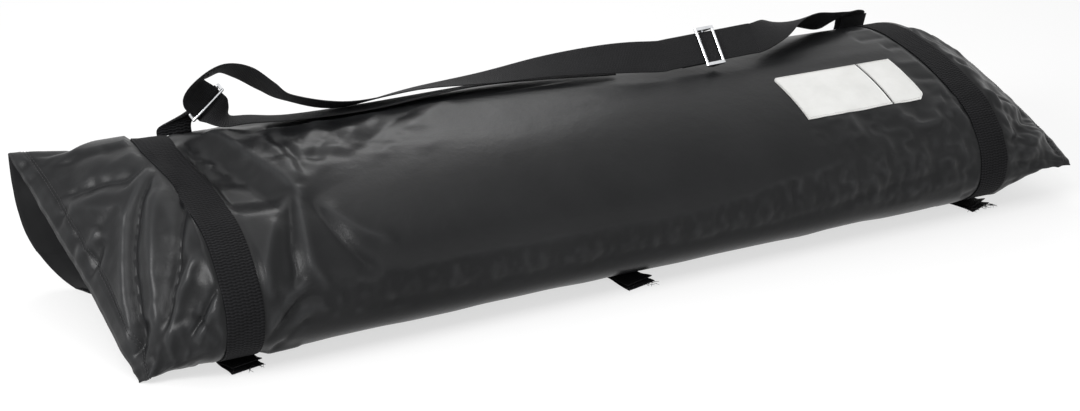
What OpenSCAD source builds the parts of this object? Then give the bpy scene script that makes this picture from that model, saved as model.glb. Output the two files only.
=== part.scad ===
// Carry bag with a packed portable goal: a coated-nylon bag with an open mouth at its left
// end and a flat sewn end at its right, two webbing wraps and a shoulder strap outside, and
// the folded base frame, bow poles, net and ground stakes inside.
// +X runs along the bag to its sewn end, +Y to its back, +Z up. The bag lies on z = 0.
// The origin is on the bag's flat underside, midway between the wraps' left edges.

/* [Bag body] */
// Width of the filled bag, front to back
body_w = 294; // [270:1:320]
// Height of the front edge, where the fabric turns under
front_edge_h = 58; // [50:1:80]
// Height of the back edge
back_edge_h = 121; // [110:1:125]
// Rise of the top over the line between both edges
crown_h = 80; // [70:1:95]
// Thickness of the bag's wall with its lining of air and folds
wall_t = 2.4; // [2.3:0.1:3]

/* [Mouth end] */
// Reach of the mouth's front corner past the left wrap
mouth_front_reach = 75; // [60:1:95]
// Reach of the mouth's back corner past the left wrap
mouth_back_reach = 123; // [110:1:140]
// Width of the mouth, front to back
mouth_w = 274; // [265:1:285]
// Y of the middle of the mouth
mouth_y = 40; // [36:1:44]
// Height of the mouth's back corner
mouth_h = 155; // [150:1:170]
// How far the mouth's lower lip falls back
mouth_recess = 55; // [30:1:60]

/* [Sewn end] */
// Reach of the sewn edge's front corner past the right wrap
end_front_reach = 101; // [85:1:120]
// Reach of the sewn edge's back corner past the right wrap
end_back_reach = 69; // [55:1:90]
// Width of the sewn edge, front to back
end_w = 238; // [220:1:260]
// Y of the middle of the sewn edge
end_y = -28; // [-40:1:-10]
// Height of the sewn edge's front corner
end_front_h = 45; // [35:1:60]
// Height of the sewn edge's back corner
end_back_h = 160; // [140:1:165]

/* [Webbing] */
// Distance between the wraps, left edge to left edge
wrap_pitch = 920; // [900:5:960]
// Width of the wraps' webbing
web_w = 38; // [34:1:40]
// Thickness of all webbing
web_t = 1.4; // [1:0.1:1.6]
// How far the bottom tab shows in front of the bag
tab_show = 28; // [20:1:36]

/* [Shoulder strap] */
// Width of the shoulder strap
strap_w = 38; // [34:1:40]
// Diameter of the rings' and the slide's steel wire
wire_d = 3.5; // [3:0.1:4]
// Clear height inside a ring
ring_gap = 12; // [10:0.5:16]

/* [Label] */
// Length of the label along the bag
label_l = 168; // [120:1:180]
// Thickness of the label
label_t = 0.8; // [0.5:0.1:1.5]

/* [Base frame] */
// Outer diameter of the frame's steel tubes
tube_d = 19; // [17:0.5:19]
// Wall of the tubes
tube_t = 1.5; // [1:0.1:2]
// Length of each of the four tubes
tube_l = 880; // [840:5:885]
// Distance between neighbouring tubes in the folded frame
tube_pitch = 21; // [20.5:0.1:21]
// Diameter of the hinge pins
pin_d = 6; // [5:0.5:8]
// Height of the pole sockets above their tubes
socket_h = 20; // [14:1:24]

/* [Bow poles] */
// Diameter of the fibreglass pole sections
rod_d = 9.5; // [8:0.1:9.5]
// Length of each pole section
rod_l = 800; // [760:5:805]
// Outer diameter of the steel ferrules
ferrule_d = 12; // [11:0.1:12]
// Length of each ferrule
ferrule_l = 90; // [60:1:90]
// Diameter of the shock cord
cord_d = 3; // [2:0.1:3.2]

/* [Net and stakes] */
// Length of the folded net
net_l = 840; // [780:5:860]
// Width of the folded net
net_w = 55; // [48:0.5:56]
// Height of the middle of the net's rounded top
net_top_z = 84; // [76:0.5:86]
// Diameter of the ground stakes
stake_d = 6; // [5:0.5:7]
// Length of a ground stake's shank
stake_l = 200; // [160:5:240]

/* [Ties] */
// Width of the hook-and-loop ties
tie_w = 20; // [15:1:30]
// Thickness of the ties
tie_t = 1.2; // [0.8:0.1:1.2]
// Distance of each pair of ties from the bag's middle
tie_x = 250; // [150:5:300]

/* [Hidden] */

// Clearance between soft pieces that touch on the real bag
soft_gap = 0.3;
// Clearance between a pin and its bore, on the radius
pin_gap = 0.05;
// Clearance between a plug and the tube that it fills, on the radius
plug_gap = 0.1;
// Clearance between the sliding faces of a hinge
face_gap = 0.2;
// Clearance of the tie round the pole sections and the stakes
tie_gap = 0.15;

bag_colour = [0.16, 0.16, 0.17];
web_colour = [0.08, 0.08, 0.09];
steel_colour = [0.75, 0.76, 0.78];
paint_colour = [0.12, 0.12, 0.13];

function mix(a, b, u) = a + (b - a) * u;
function unit(v) = v / norm(v);

// ---------------------------------------------------------------- bag section
// A station across the bag holds: x of its front and back edges, y of its middle, half width,
// height of the front and back edges, crown, roundness of the top, of the front underside and
// of the back underside, how far the underside drops to the floor, how far the lower lip is set
// back, and how far the wall's inner face stays clear of a sharp front edge.
sides = 48;
underside_flatness = 1.06;

wrap_left_x = -wrap_pitch / 2;
wrap_right_x = wrap_pitch / 2;

function body_at(x) = [x, x, 0, body_w / 2, front_edge_h, back_edge_h, crown_h,
  2.33, 2.6, 4, 1, 0, 0];
mouth_rim = [wrap_left_x - mouth_front_reach, wrap_left_x - mouth_back_reach, mouth_y,
  mouth_w / 2, 0, mouth_h, 6, 2, 3, 6, 1, mouth_recess, 8];
sewn_edge = [wrap_right_x + web_w + end_front_reach, wrap_right_x + web_w + end_back_reach, end_y,
  end_w / 2, end_front_h, end_back_h, 1.2, 2, 2, 2, 0.02, 0, 0];

function superellipse_r(phi, n) = pow(pow(abs(cos(phi)), n) + pow(abs(sin(phi)), n), -1 / n);

// Point of a station at the angle phi, with the surface moved in by inset
function bag_point(s, phi, inset) =
  let (
    roundness = phi < 180 ? s[7] : phi < 270 ? s[8] : s[9],
    reach = superellipse_r(phi, roundness),
    pinch = inset > 0 ? s[12] / 2 : 0,
    half = s[3] - inset - pinch,
    across = pinch + half * reach * cos(phi),
    h = reach * sin(phi),
    back_share = (across + s[3]) / (2 * s[3]),
    edge_z = mix(s[4], s[5], back_share),
    z = h > 0 ? edge_z + (s[6] - inset) * h
      : max(inset, edge_z + (underside_flatness * s[10] * edge_z - inset) * h),
    x = mix(s[0], s[1], back_share) + (h < 0 ? s[11] * pow(-h, 3) : 0)
  )
  [x, s[2] + across, z];

function station_ring(s, inset) = [for (i = [0 : sides - 1]) bag_point(s, 360 * i / sides, inset)];

// Stations between the mouth and the left wrap, and between the right wrap and the sewn end
mouth_steps = 6;
end_steps = 6;
function mouth_station(u) = mix(mouth_rim, body_at(wrap_left_x - 4), u);
function end_station(u) =
  let (s = mix(body_at(wrap_right_x + web_w + 4), sewn_edge, u))
  [s[0], s[1], s[2], s[3], s[4], s[5], mix(crown_h, sewn_edge[6], pow(u, 1.15)), s[7], s[8], s[9],
    s[10], s[11], s[12]];

wrap_recess = web_t + soft_gap;
outer_rings = concat(
  [for (i = [0 : mouth_steps]) station_ring(mouth_station(i / mouth_steps), 0)],
  [for (x0 = [wrap_left_x, wrap_right_x]) each [
    station_ring(body_at(x0 - soft_gap), 0),
    station_ring(body_at(x0 - soft_gap), wrap_recess),
    station_ring(body_at(x0 + web_w + soft_gap), wrap_recess),
    station_ring(body_at(x0 + web_w + soft_gap), 0)]],
  [for (i = [0 : end_steps]) station_ring(end_station(i / end_steps), 0)]);

// The hollow inside runs to most of the way to the sewn edge
hollow_share = 0.6;
inner_rings = concat(
  [for (i = [0 : mouth_steps]) station_ring(mouth_station(i / mouth_steps), wall_t)],
  [station_ring(body_at(wrap_right_x + web_w + 4), wall_t)],
  [for (i = [1 : 3]) station_ring(end_station(hollow_share * i / 3), wall_t)]);

// Triangles of the strip between rings a and b of n points, facing away from the rings' middle
function strip(a, b, n, flip = false) = [for (i = [0 : n - 1]) let (j = (i + 1) % n)
  each (flip ? [[a + i, a + j, b + i], [a + j, b + j, b + i]]
    : [[a + i, b + i, a + j], [a + j, b + i, b + j]])];
function cap(a, n, flip = false) = [for (i = [1 : n - 2])
  flip ? [a, a + i, a + i + 1] : [a, a + i + 1, a + i]];
function flatten(v) = [for (a = v) each a];

module bag_shell() {
  color(bag_colour) {
    outer_n = len(outer_rings);
    inner_n = len(inner_rings);
    inner_start = outer_n * sides;
    polyhedron(
      flatten(concat(outer_rings, inner_rings)),
      concat(
        flatten([for (k = [0 : outer_n - 2]) strip(k * sides, (k + 1) * sides, sides)]),
        cap((outer_n - 1) * sides, sides),
        flatten([for (k = [0 : inner_n - 2])
          strip(inner_start + k * sides, inner_start + (k + 1) * sides, sides, true)]),
        cap(inner_start + (inner_n - 1) * sides, sides, true),
        strip(0, inner_start, sides, true)),
      convexity = 6);
  }
}

// ---------------------------------------------------------------- wraps and tabs
module wrap(x0) {
  rings = [station_ring(body_at(x0), 0), station_ring(body_at(x0 + web_w), 0),
    station_ring(body_at(x0 + web_w), web_t), station_ring(body_at(x0), web_t)];
  color(web_colour)
    polyhedron(flatten(rings),
      flatten([for (k = [0 : 3]) strip(k * sides, ((k + 1) % 4) * sides, sides)]), convexity = 4);
}

module left_wrap() { wrap(wrap_left_x); }
module right_wrap() { wrap(wrap_right_x); }

// Height of the bag's underside over the floor at y, in front of its middle
function underside_z(y) =
  let (
    edge_z = mix(front_edge_h, back_edge_h, (y + body_w / 2) / body_w),
    n = body_at(0)[8],
    h = pow(1 - pow(abs(y) / (body_w / 2), n), 1 / n)
  )
  max(0, edge_z * (1 - underside_flatness * h));

// Folded end of webbing that lies on the floor, with its inner end under the bag's front edge
tail_front_y = -body_w / 2 + 47;
tail_back_y = max([for (y = [-body_w / 2 + 20 : 0.5 : -body_w / 8])
  if (underside_z(y) > 2 * web_t + soft_gap) y]);
module floor_tail(x0, width, show) {
  color(web_colour)
    translate([x0, tail_front_y - show, 0])
      difference() {
        cube([width, tail_back_y - tail_front_y + show, 2 * web_t]);
        translate([-1, -1, web_t])
          cube([width + 2, 7, web_t + 1]);
      }
}

module left_wrap_tail() { floor_tail(wrap_left_x + 4, web_w, tab_show - 8); }
module right_wrap_tail() { floor_tail(wrap_right_x + 4, web_w, tab_show - 8); }
module bottom_tab() { floor_tail(-12, web_w, tab_show); }

// ---------------------------------------------------------------- label
label_x = 251;
label_low_phi = 125;
label_high_phi = 94;
label_steps = 8;
// Length cut off the label's lower right corner
label_cut = 8;
module label_panel() {
  rings = [for (i = [0 : label_steps])
    let (phi = mix(label_high_phi, label_low_phi, i / label_steps))
    let (row_l = label_l - (i == label_steps ? label_cut : 0))
    [for (c = [[0, 0], [row_l, 0], [row_l, 1], [0, 1]])
      bag_point(body_at(label_x + c[0]), phi, -soft_gap - c[1] * label_t)]];
  color("white")
    polyhedron(flatten(rings),
      concat(
        cap(0, 4, true),
        flatten([for (k = [0 : label_steps - 1]) strip(k * 4, (k + 1) * 4, 4)]),
        cap(label_steps * 4, 4)));
}

// ---------------------------------------------------------------- ribbon
// Each row of a ribbon's route is a point of its middle and the way its front edge lies.
function catmull(a, b, c, d, u) = 0.5 * (2 * b + (c - a) * u + (2 * a - 5 * b + 4 * c - d) * u * u
  + (3 * b - a - 3 * c + d) * u * u * u);
function row(route, i) = route[max(0, min(len(route) - 1, i))];
function smooth_route(route, steps) = [for (i = [0 : len(route) - 2]) for (k = [0 : steps - 1])
  catmull(row(route, i - 1), row(route, i), row(route, i + 1), row(route, i + 2), k / steps),
  route[len(route) - 1]];
function middle(r) = [r[0], r[1], r[2]];
function edge_way(r) = [r[3], r[4], r[5]];

// A sheared ribbon keeps its edge ways as they are, however its route runs.
function ribbon_ring(rows, i, w, t, sheared) =
  let (
    along = unit(middle(row(rows, i + 1)) - middle(row(rows, i - 1))),
    way = edge_way(rows[i]),
    side = unit(sheared ? way : way - along * (way * along)),
    face = unit(cross(along, side)),
    c = middle(rows[i])
  )
  [for (q = [[-1, -1], [1, -1], [1, 1], [-1, 1]]) c + side * w / 2 * q[0] + face * t / 2 * q[1]];

module ribbon(route, w, t, steps, sheared = false) {
  rows = smooth_route(route, steps);
  n = len(rows);
  polyhedron(
    flatten([for (i = [0 : n - 1]) ribbon_ring(rows, i, w, t, sheared)]),
    concat(
      cap(0, 4, true),
      flatten([for (k = [0 : n - 2]) strip(k * 4, (k + 1) * 4, 4)]),
      cap((n - 1) * 4, 4)),
    convexity = 10);
}

// Turns a piece that is drawn along X, with its side along Y, to the given directions
module align(origin, x_way, y_way) {
  ax = unit(x_way);
  ay = unit(y_way - ax * (y_way * ax));
  az = cross(ax, ay);
  multmatrix([[ax[0], ay[0], az[0], origin[0]], [ax[1], ay[1], az[1], origin[1]],
    [ax[2], ay[2], az[2], origin[2]]])
    children();
}

// ---------------------------------------------------------------- rings and their tabs
// A ring's long bars run along X here, with the tab's bar at the origin and the strap's bar
// on -Y of it.
ring_bar_l = strap_w + 2;
ring_pitch = ring_gap + wire_d;
eye_r = wire_d / 2 + pin_gap + web_t;

module ring_shape() {
  color(steel_colour) {
    for (y = [0, -ring_pitch])
      translate([-ring_bar_l / 2 - wire_d / 2, y, 0])
        rotate([0, 90, 0])
          cylinder(d = wire_d, h = ring_bar_l + wire_d, $fn = 32);
    for (side = [-1, 1])
      translate([side * (ring_bar_l / 2 + wire_d / 2), 0, 0])
        rotate([90, 0, 0])
          cylinder(d = wire_d, h = ring_pitch, $fn = 32);
    for (side = [-1, 1], y = [0, -ring_pitch])
      translate([side * (ring_bar_l / 2 + wire_d / 2), y, 0])
        sphere(d = wire_d, $fn = 32);
  }
}

// Webbing eye round a bar that runs along X
module web_eye(length) {
  rotate([0, 90, 0])
    difference() {
      cylinder(r = eye_r, h = length, center = true, $fn = 32);
      cylinder(r = wire_d / 2 + pin_gap, h = length + 2, center = true, $fn = 32);
    }
}

// Left ring: its bars rise to the right and its loop reaches to the front
ring_left_at = [-388, 111, 204];
ring_left_bar = unit([0.726, -0.08, 0.68]);
ring_left_back = unit([0.06, 0.99, 0.05]);
// Right ring: it lies against the back of the bag, its loop reaching up
ring_right_at = [wrap_right_x + web_w / 2, body_w / 2 + 7, 138];
ring_right_bar = [1, 0, 0];
ring_right_back = unit([0, 0.35, -0.94]);
tab_right_leg = 20.7;
tab_right_tilt = -35.2;

// The left tab's foot is on the wrap, behind the top of the bag
tab_left_foot = [wrap_left_x + 30, 121, 167.8];

module ring_left() { align(ring_left_at, ring_left_bar, ring_left_back) ring_shape(); }
module ring_right() { align(ring_right_at, ring_right_bar, ring_right_back) ring_shape(); }

module strap_tab_left() {
  color(web_colour) {
    align(ring_left_at, ring_left_bar, ring_left_back) web_eye(strap_w);
    start = ring_left_at + ring_left_back * (eye_r - web_t / 2);
    ribbon([
      concat(start, ring_left_bar),
      concat(start + [-8, 8, -9], [0.85, 0, 0.5]),
      concat(tab_left_foot + [3, 3, 11], [1, 0, 0.1]),
      concat(tab_left_foot, [1, 0, 0])],
      strap_w, 2 * web_t, 3, true);
  }
}

module strap_tab_right() {
  color(web_colour)
    align(ring_right_at, ring_right_bar, ring_right_back)
      translate([-strap_w / 2, 0, 0])
        rotate([90, 0, 90])
          linear_extrude(strap_w)
            difference() {
              union() {
                circle(r = eye_r, $fn = 32);
                rotate(tab_right_tilt)
                  translate([0, -web_t])
                    square([tab_right_leg - web_t / 2, 2 * web_t]);
              }
              circle(r = wire_d / 2 + pin_gap, $fn = 32);
            }
}

// ---------------------------------------------------------------- shoulder strap
// The strap turns round each ring's front bar, in a bight that lets the ring swing a little.
// Bight points are steps away from the ring and steps across its plane, from the bar's middle.
bight = [[14, -1], [6, -1], [-0.5, -0.85], [-2.6, -0.42], [-2.6, 0.42], [-0.5, 0.85], [6, 1], [14, 1.1]];
function bight_route(ring_at, bar, back, half, way) =
  let (
    across = cross(bar, back),
    front_bar = ring_at - back * ring_pitch
  )
  [for (b = bight) concat(front_bar - back * b[0] + across * b[1] * half, way)];

// Half height of each bight, middle of the webbing to the bar's middle
left_bight_half = 6.2;
right_bight_half = 5;

// The strap runs straight between these points, and the slide rides there
slide_from = [148, 40, 198.5];
slide_to = [246, 42, 201];
slide_way = slide_to - slide_from;
slide_at = mix(slide_from, slide_to, 0.5);
slide_front = [0.44, -0.55, -0.71];

// The strap's right end is sewn back on itself. Then the route runs over the top of the bag,
// through the slide, round the left ring and back along the top. After the point of its middle,
// each row holds the way that its front edge lies.
strap_route = concat(
  [[479, 135, 178, 1, 0, 0]],
  bight_route(ring_right_at, ring_right_bar, ring_right_back, right_bight_half, ring_right_bar),
  [[474, 140, 178, 1, -0.05, 0],
  [460, 126, 187, 0.9, -0.3, 0.3],
  [438, 110, 194, 0.5, -0.6, 0.6],
  [410, 100, 199, 0.2, -0.65, 0.7],
  [370, 90, 205, 0.1, -0.75, 0.6],
  [330, 74, 206, 0.15, -0.95, 0.2],
  [296, 54, 204, 0.3, -0.8, -0.5]],
  [for (u = [1.2, 1, 0, -0.2]) concat(mix(slide_from, slide_to, u), slide_front)],
  [[95, 47, 199.5, 0.3, -0.66, -0.69],
  [55, 61, 198, 0.1, -0.8, -0.6],
  [0, 74, 195, 0, -0.92, -0.35],
  [-70, 82, 191, 0, -1, -0.05],
  [-150, 90, 189, 0, -0.95, 0.25],
  [-240, 92, 189, 0, -0.9, 0.4],
  [-290, 92, 198, -0.05, -0.85, 0.5],
  [-325, 90, 217, -0.15, -0.85, 0.45],
  [-350, 88, 234, -0.25, -0.9, 0.25],
  [-374, 84, 241, -0.4, -0.85, 0],
  [-396, 78, 234, -0.6, -0.6, -0.4],
  [-405, 76, 220, -0.7, -0.2, -0.66]],
  reverse(bight_route(ring_left_at, ring_left_bar, ring_left_back, left_bight_half,
    -ring_left_bar)),
  [[-368, 80, 194.5, -0.6, -0.5, -0.4],
  [-335, 86, 183.5, -0.15, -0.95, -0.15],
  [-290, 88, 181.2, 0, -0.99, 0.1],
  [-200, 88, 180.4, 0, -0.99, 0.12],
  [-100, 84, 180.8, 0, -0.99, 0.1],
  [0, 76, 182, 0, -1, 0],
  [80, 66, 186, 0, -0.93, -0.3]]);
strap_steps = 3;
function reverse(v) = [for (i = [len(v) - 1 : -1 : 0]) v[i]];

module shoulder_strap() {
  color(web_colour)
    ribbon(strap_route, strap_w, web_t, strap_steps);
}

// ---------------------------------------------------------------- slide
// The slide's outer bars pass over the strap and its middle bar under it, with the strap's
// sewn end looped round the middle bar.
slide_bar_pitch = 11;
slide_side = strap_w / 2 + 3;
bar_over = web_t / 2 + soft_gap + wire_d / 2;
slide_boss_d = wire_d + 0.6;

module slide_frame() {
  color(steel_colour) {
    for (x = [-slide_bar_pitch, slide_bar_pitch])
      translate([x, -slide_side, bar_over])
        rotate([-90, 0, 0])
          cylinder(d = wire_d, h = 2 * slide_side, $fn = 32);
    translate([0, -slide_side, -bar_over])
      rotate([-90, 0, 0])
        cylinder(d = wire_d, h = 2 * slide_side, $fn = 32);
    for (side = [-1, 1])
      translate([0, side * slide_side, 0])
        rotate([90, 0, 0])
          linear_extrude(wire_d, center = true)
            hull() {
              for (x = [-slide_bar_pitch, slide_bar_pitch])
                translate([x, bar_over])
                  circle(d = slide_boss_d, $fn = 32);
              translate([0, -bar_over])
                circle(d = slide_boss_d, $fn = 32);
            }
  }
}

module strap_slide() { align(slide_at, slide_way, -slide_front) slide_frame(); }

loop_leg = 42;
module strap_end_loop() {
  color(web_colour)
    align(slide_at, slide_way, -slide_front)
      difference() {
        union() {
          translate([0, strap_w / 2, -bar_over])
            rotate([90, 0, 0])
              cylinder(r = eye_r, h = strap_w, $fn = 32);
          translate([-loop_leg, -strap_w / 2, -bar_over - eye_r])
            cube([loop_leg, strap_w, 2 * web_t]);
        }
        translate([0, strap_w, -bar_over])
          rotate([90, 0, 0])
            cylinder(r = wire_d / 2 + pin_gap, h = 2 * strap_w, $fn = 32);
        translate([-loop_leg, -strap_w, -web_t / 2 - soft_gap])
          cube([2 * loop_leg, 2 * strap_w, 2 * bar_over]);
      }
}

// ---------------------------------------------------------------- packed base frame
// The four tubes lie side by side: side arm, rear rail, rear rail, side arm.
tube_z = wall_t + soft_gap + tie_t + soft_gap + tube_d / 2;
first_tube_y = 10.5;
tube_y = [for (i = [0 : 3]) first_tube_y + i * tube_pitch];
centre_pin = [tube_l / 2 + 12, (tube_y[1] + tube_y[2]) / 2];
corner_pins = [[-tube_l / 2 - 12, (tube_y[0] + tube_y[1]) / 2],
  [-tube_l / 2 - 12, (tube_y[2] + tube_y[3]) / 2]];
plug_l = 25;
bore_r = tube_d / 2 - tube_t;
tongue_t = 5;
cheek_t = 2.6;
lug_r = 7.5;

module frame_tube(y) {
  color(paint_colour)
    translate([-tube_l / 2, y, tube_z])
      rotate([0, 90, 0])
        difference() {
          cylinder(d = tube_d, h = tube_l, $fn = 48);
          translate([0, 0, -1])
            cylinder(r = bore_r, h = tube_l + 2, $fn = 48);
        }
}

module side_arm(y) {
  difference() {
    frame_tube(y);
    translate([socket_x, y, tube_z])
      cylinder(d = socket_od + 2 * pin_gap, h = tube_d, $fn = 48);
  }
}

// Plate from a tube's end to its hinge pin, flat in XY, with the pin's bore
module lug_plate(pin, y, end_side, t) {
  tube_end = [end_side * tube_l / 2, y];
  difference() {
    linear_extrude(t, center = true)
      union() {
        translate(pin)
          circle(r = lug_r, $fn = 40);
        polygon([tube_end + [0, -bore_r + 2], pin + [0, -lug_r], pin + [0, lug_r],
          tube_end + [0, bore_r - 2]]);
      }
    translate([pin[0], pin[1], -t])
      cylinder(r = pin_d / 2 + pin_gap, h = 2 * t, $fn = 40);
  }
}

// Round plug in a tube's end that carries the lugs
module lug_plug(y, end_side) {
  translate([end_side * (tube_l / 2 - plug_l / 2), y, 0])
    rotate([0, 90, 0])
      cylinder(r = bore_r - plug_gap, h = plug_l, center = true, $fn = 40);
}

module hinge_fork(pin, y, end_side) {
  color(steel_colour)
    translate([0, 0, tube_z]) {
      lug_plug(y, end_side);
      for (side = [-1, 1])
        translate([0, 0, side * (tongue_t / 2 + face_gap + cheek_t / 2)])
          lug_plate(pin, y, end_side, cheek_t);
    }
}

module hinge_tongue(pin, y, end_side) {
  color(steel_colour)
    translate([0, 0, tube_z]) {
      lug_plug(y, end_side);
      lug_plate(pin, y, end_side, tongue_t);
    }
}

pin_reach = tongue_t / 2 + face_gap + cheek_t + face_gap;
module hinge_pin(pin) {
  translate([pin[0], pin[1], tube_z]) {
    cylinder(d = pin_d, h = 2 * pin_reach, center = true, $fn = 40);
    for (side = [-1, 1])
      translate([0, 0, side * (pin_reach + 0.6)])
        cylinder(d = pin_d + 4, h = 1.2, center = true, $fn = 40);
  }
}

module rear_rail_left() { frame_tube(tube_y[1]); }
module rear_rail_right() { frame_tube(tube_y[2]); }
module side_arm_left() { side_arm(tube_y[0]); }
module side_arm_right() { side_arm(tube_y[3]); }
module centre_hinge_fork() { hinge_fork(centre_pin, tube_y[1], 1); }
module centre_hinge_tongue() { hinge_tongue(centre_pin, tube_y[2], 1); }
module corner_hinge_forks() {
  hinge_fork(corner_pins[0], tube_y[1], -1);
  hinge_fork(corner_pins[1], tube_y[2], -1);
}
module corner_hinge_tongues() {
  hinge_tongue(corner_pins[0], tube_y[0], -1);
  hinge_tongue(corner_pins[1], tube_y[3], -1);
}
module hinge_pins() {
  color(steel_colour)
    for (pin = concat([centre_pin], corner_pins))
      hinge_pin(pin);
}

// Plastic plugs close the free ends of the side arms
module arm_end_plugs() {
  color(web_colour)
    for (y = [tube_y[0], tube_y[3]])
      translate([tube_l / 2, y, tube_z])
        rotate([0, 90, 0]) {
          translate([0, 0, -12])
            cylinder(r = bore_r - plug_gap, h = 12, $fn = 40);
          cylinder(d = tube_d, h = 2.5, $fn = 48);
        }
}

// Sockets stand in the side arms near their free ends and take the ends of the bow pole
socket_od = 13;
socket_x = tube_l / 2 - 25;
socket_floor = 2;
// The socket's foot stops where it meets the tube's round inner face
socket_drop = sqrt(bore_r * bore_r - socket_od * socket_od / 4) - plug_gap;
module pole_sockets() {
  color(steel_colour)
    for (y = [tube_y[0], tube_y[3]])
      translate([socket_x, y, tube_z - socket_drop])
        difference() {
          cylinder(d = socket_od, h = socket_drop + tube_d / 2 + socket_h, $fn = 48);
          translate([0, 0, socket_floor])
            cylinder(d = rod_d + 0.5, h = tube_d + socket_h, $fn = 48);
        }
}

// ---------------------------------------------------------------- ties
// Band round circles of one radius at the given places, as wide as a tie
module band(x, places, r, gap) {
  translate([x - tie_w / 2, 0, 0])
    rotate([90, 0, 90])
      linear_extrude(tie_w)
        difference() {
          hull()
            for (p = places)
              translate(p)
                circle(r = r + gap + tie_t, $fn = 32);
          hull()
            for (p = places)
              translate(p)
                circle(r = r + gap, $fn = 32);
        }
}

module frame_ties() {
  color(web_colour)
    for (x = [-tie_x, tie_x])
      band(x, [[tube_y[0], tube_z], [tube_y[3], tube_z]], tube_d / 2, soft_gap);
}

// ---------------------------------------------------------------- bow poles
// Five pole sections folded zigzag on their shock cord: three below and two above.
rod_pitch = ferrule_d + 0.5;
rods_y = (tube_y[1] + tube_y[2]) / 2;
rods_z = tube_z + tube_d / 2 + soft_gap + tie_t + soft_gap + ferrule_d / 2;
row_rise = rod_pitch * sqrt(3) / 2;
rod_places = [[rods_y - rod_pitch, rods_z], [rods_y, rods_z], [rods_y + rod_pitch, rods_z],
  [rods_y + rod_pitch / 2, rods_z + row_rise], [rods_y - rod_pitch / 2, rods_z + row_rise]];
rod_bore = cord_d + 1;
ferrule_bore = rod_d + 0.2;
turn_x = rod_l / 2 + ferrule_l / 2 + 3;

module along_x(place, from, to) {
  translate([from, place[0], place[1]])
    rotate([0, 90, 0])
      children();
}

module bow_pole_sections() {
  color([0.15, 0.15, 0.16])
    for (p = rod_places)
      along_x(p, -rod_l / 2)
        difference() {
          cylinder(d = rod_d, h = rod_l, $fn = 40);
          translate([0, 0, -1])
            cylinder(d = rod_bore, h = rod_l + 2, $fn = 32);
        }
}

// Each joint's ferrule sits on the earlier section and stands past its end
module pole_ferrules() {
  color(steel_colour)
    for (i = [0 : 3])
      along_x(rod_places[i], (i % 2 == 0 ? 1 : -1) * rod_l / 2 - ferrule_l / 2)
        difference() {
          cylinder(d = ferrule_d, h = ferrule_l, $fn = 40);
          translate([0, 0, -1])
            cylinder(d = ferrule_bore, h = ferrule_l + 2, $fn = 40);
        }
}

// Caps close the two free ends of the folded pole and hold the cord's knots
cap_l = 14;
module pole_end_caps() {
  color(steel_colour)
    for (e = [[0, -1], [4, 1]])
      translate([e[1] * rod_l / 2, rod_places[e[0]][0], rod_places[e[0]][1]])
        rotate([0, e[1] * 90, 0])
          translate([0, 0, -cap_l])
            difference() {
              cylinder(d = rod_d + 1.6, h = cap_l + 1.5, $fn = 40);
              translate([0, 0, -1])
                cylinder(d = rod_d + 0.2, h = cap_l + 1.1, $fn = 40);
            }
}

// The cord is one tube along its route. Each point of the route holds its place, the way on
// and the normal of the plane that the nearest half turn lies in.
cord_sides = 8;
cord_turn_steps = 6;
function turn_normal(i) =
  let (
    span = rod_places[i + 1] - rod_places[i],
    n = unit(cross([1, 0, 0], [0, span[0], span[1]]))
  )
  n[2] < 0 ? -n : n;
function cord_turn(i) =
  let (
    end_side = i % 2 == 0 ? 1 : -1,
    mid = (rod_places[i] + rod_places[i + 1]) / 2,
    half = (rod_places[i + 1] - rod_places[i]) / 2
  )
  [for (k = [0 : cord_turn_steps])
    let (a = 180 * k / cord_turn_steps, p = mid - half * cos(a))
    [[end_side * (turn_x + norm(half) * sin(a)), p[0], p[1]],
      unit([end_side * norm(half) * cos(a), half[0] * sin(a), half[1] * sin(a)]),
      turn_normal(i)]];
cord_route = concat(
  [[[-rod_l / 2, rod_places[0][0], rod_places[0][1]], [1, 0, 0], turn_normal(0)]],
  [for (i = [0 : 3]) each cord_turn(i)],
  [[[rod_l / 2, rod_places[4][0], rod_places[4][1]], [1, 0, 0], turn_normal(3)]]);

module pole_shock_cord() {
  n = len(cord_route);
  color("darkred")
    polyhedron(
      [for (c = cord_route) for (i = [0 : cord_sides - 1])
        let (q = 360 * i / cord_sides)
        c[0] + cord_d / 2 * (cos(q) * c[2] + sin(q) * cross(c[1], c[2]))],
      concat(
        cap(0, cord_sides, true),
        flatten([for (k = [0 : n - 2])
          strip(k * cord_sides, (k + 1) * cord_sides, cord_sides)]),
        cap((n - 1) * cord_sides, cord_sides)),
      convexity = 10);
}

module pole_ties() {
  color(web_colour)
    for (x = [-tie_x, tie_x])
      band(x, rod_places, rod_d / 2, tie_gap);
}

// ---------------------------------------------------------------- net
// The folded net fills the back of the bag: it follows the bag's inner face below and behind,
// and is round on top. inset is its distance from the bag's outer face.
net_inset = wall_t + 2 * soft_gap + tie_t;
// The net follows the same corners of the bag's section as its wall does
net_first = 40;
net_last = 45;
net_back_y = bag_point(body_at(0), 360 * net_last / sides, net_inset)[1];
net_front_y = net_back_y - net_w;
net_steps = 12;
function net_outline(grow) =
  let (
    top_y = (net_front_y + net_back_y) / 2,
    wall_side = [for (i = [net_first : net_last])
      let (p = bag_point(body_at(0), 360 * i / sides, net_inset - grow))
      if (p[1] > net_front_y + 8 && p[2] < net_top_z) [p[1], p[2]]],
    top_side = [for (i = [0 : net_steps])
      [top_y, net_top_z] + (net_w / 2 + grow) * [cos(180 * i / net_steps), sin(180 * i / net_steps)]]
  )
  concat(wall_side, top_side, [[net_front_y - grow, wall_side[0][1] + 6]]);

module net_slice(x, length, grow) {
  translate([x - length / 2, 0, 0])
    rotate([90, 0, 90])
      linear_extrude(length)
        polygon(net_outline(grow));
}

module net_bundle() {
  color([0.85, 0.85, 0.85])
    net_slice(0, net_l, 0);
}

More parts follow.
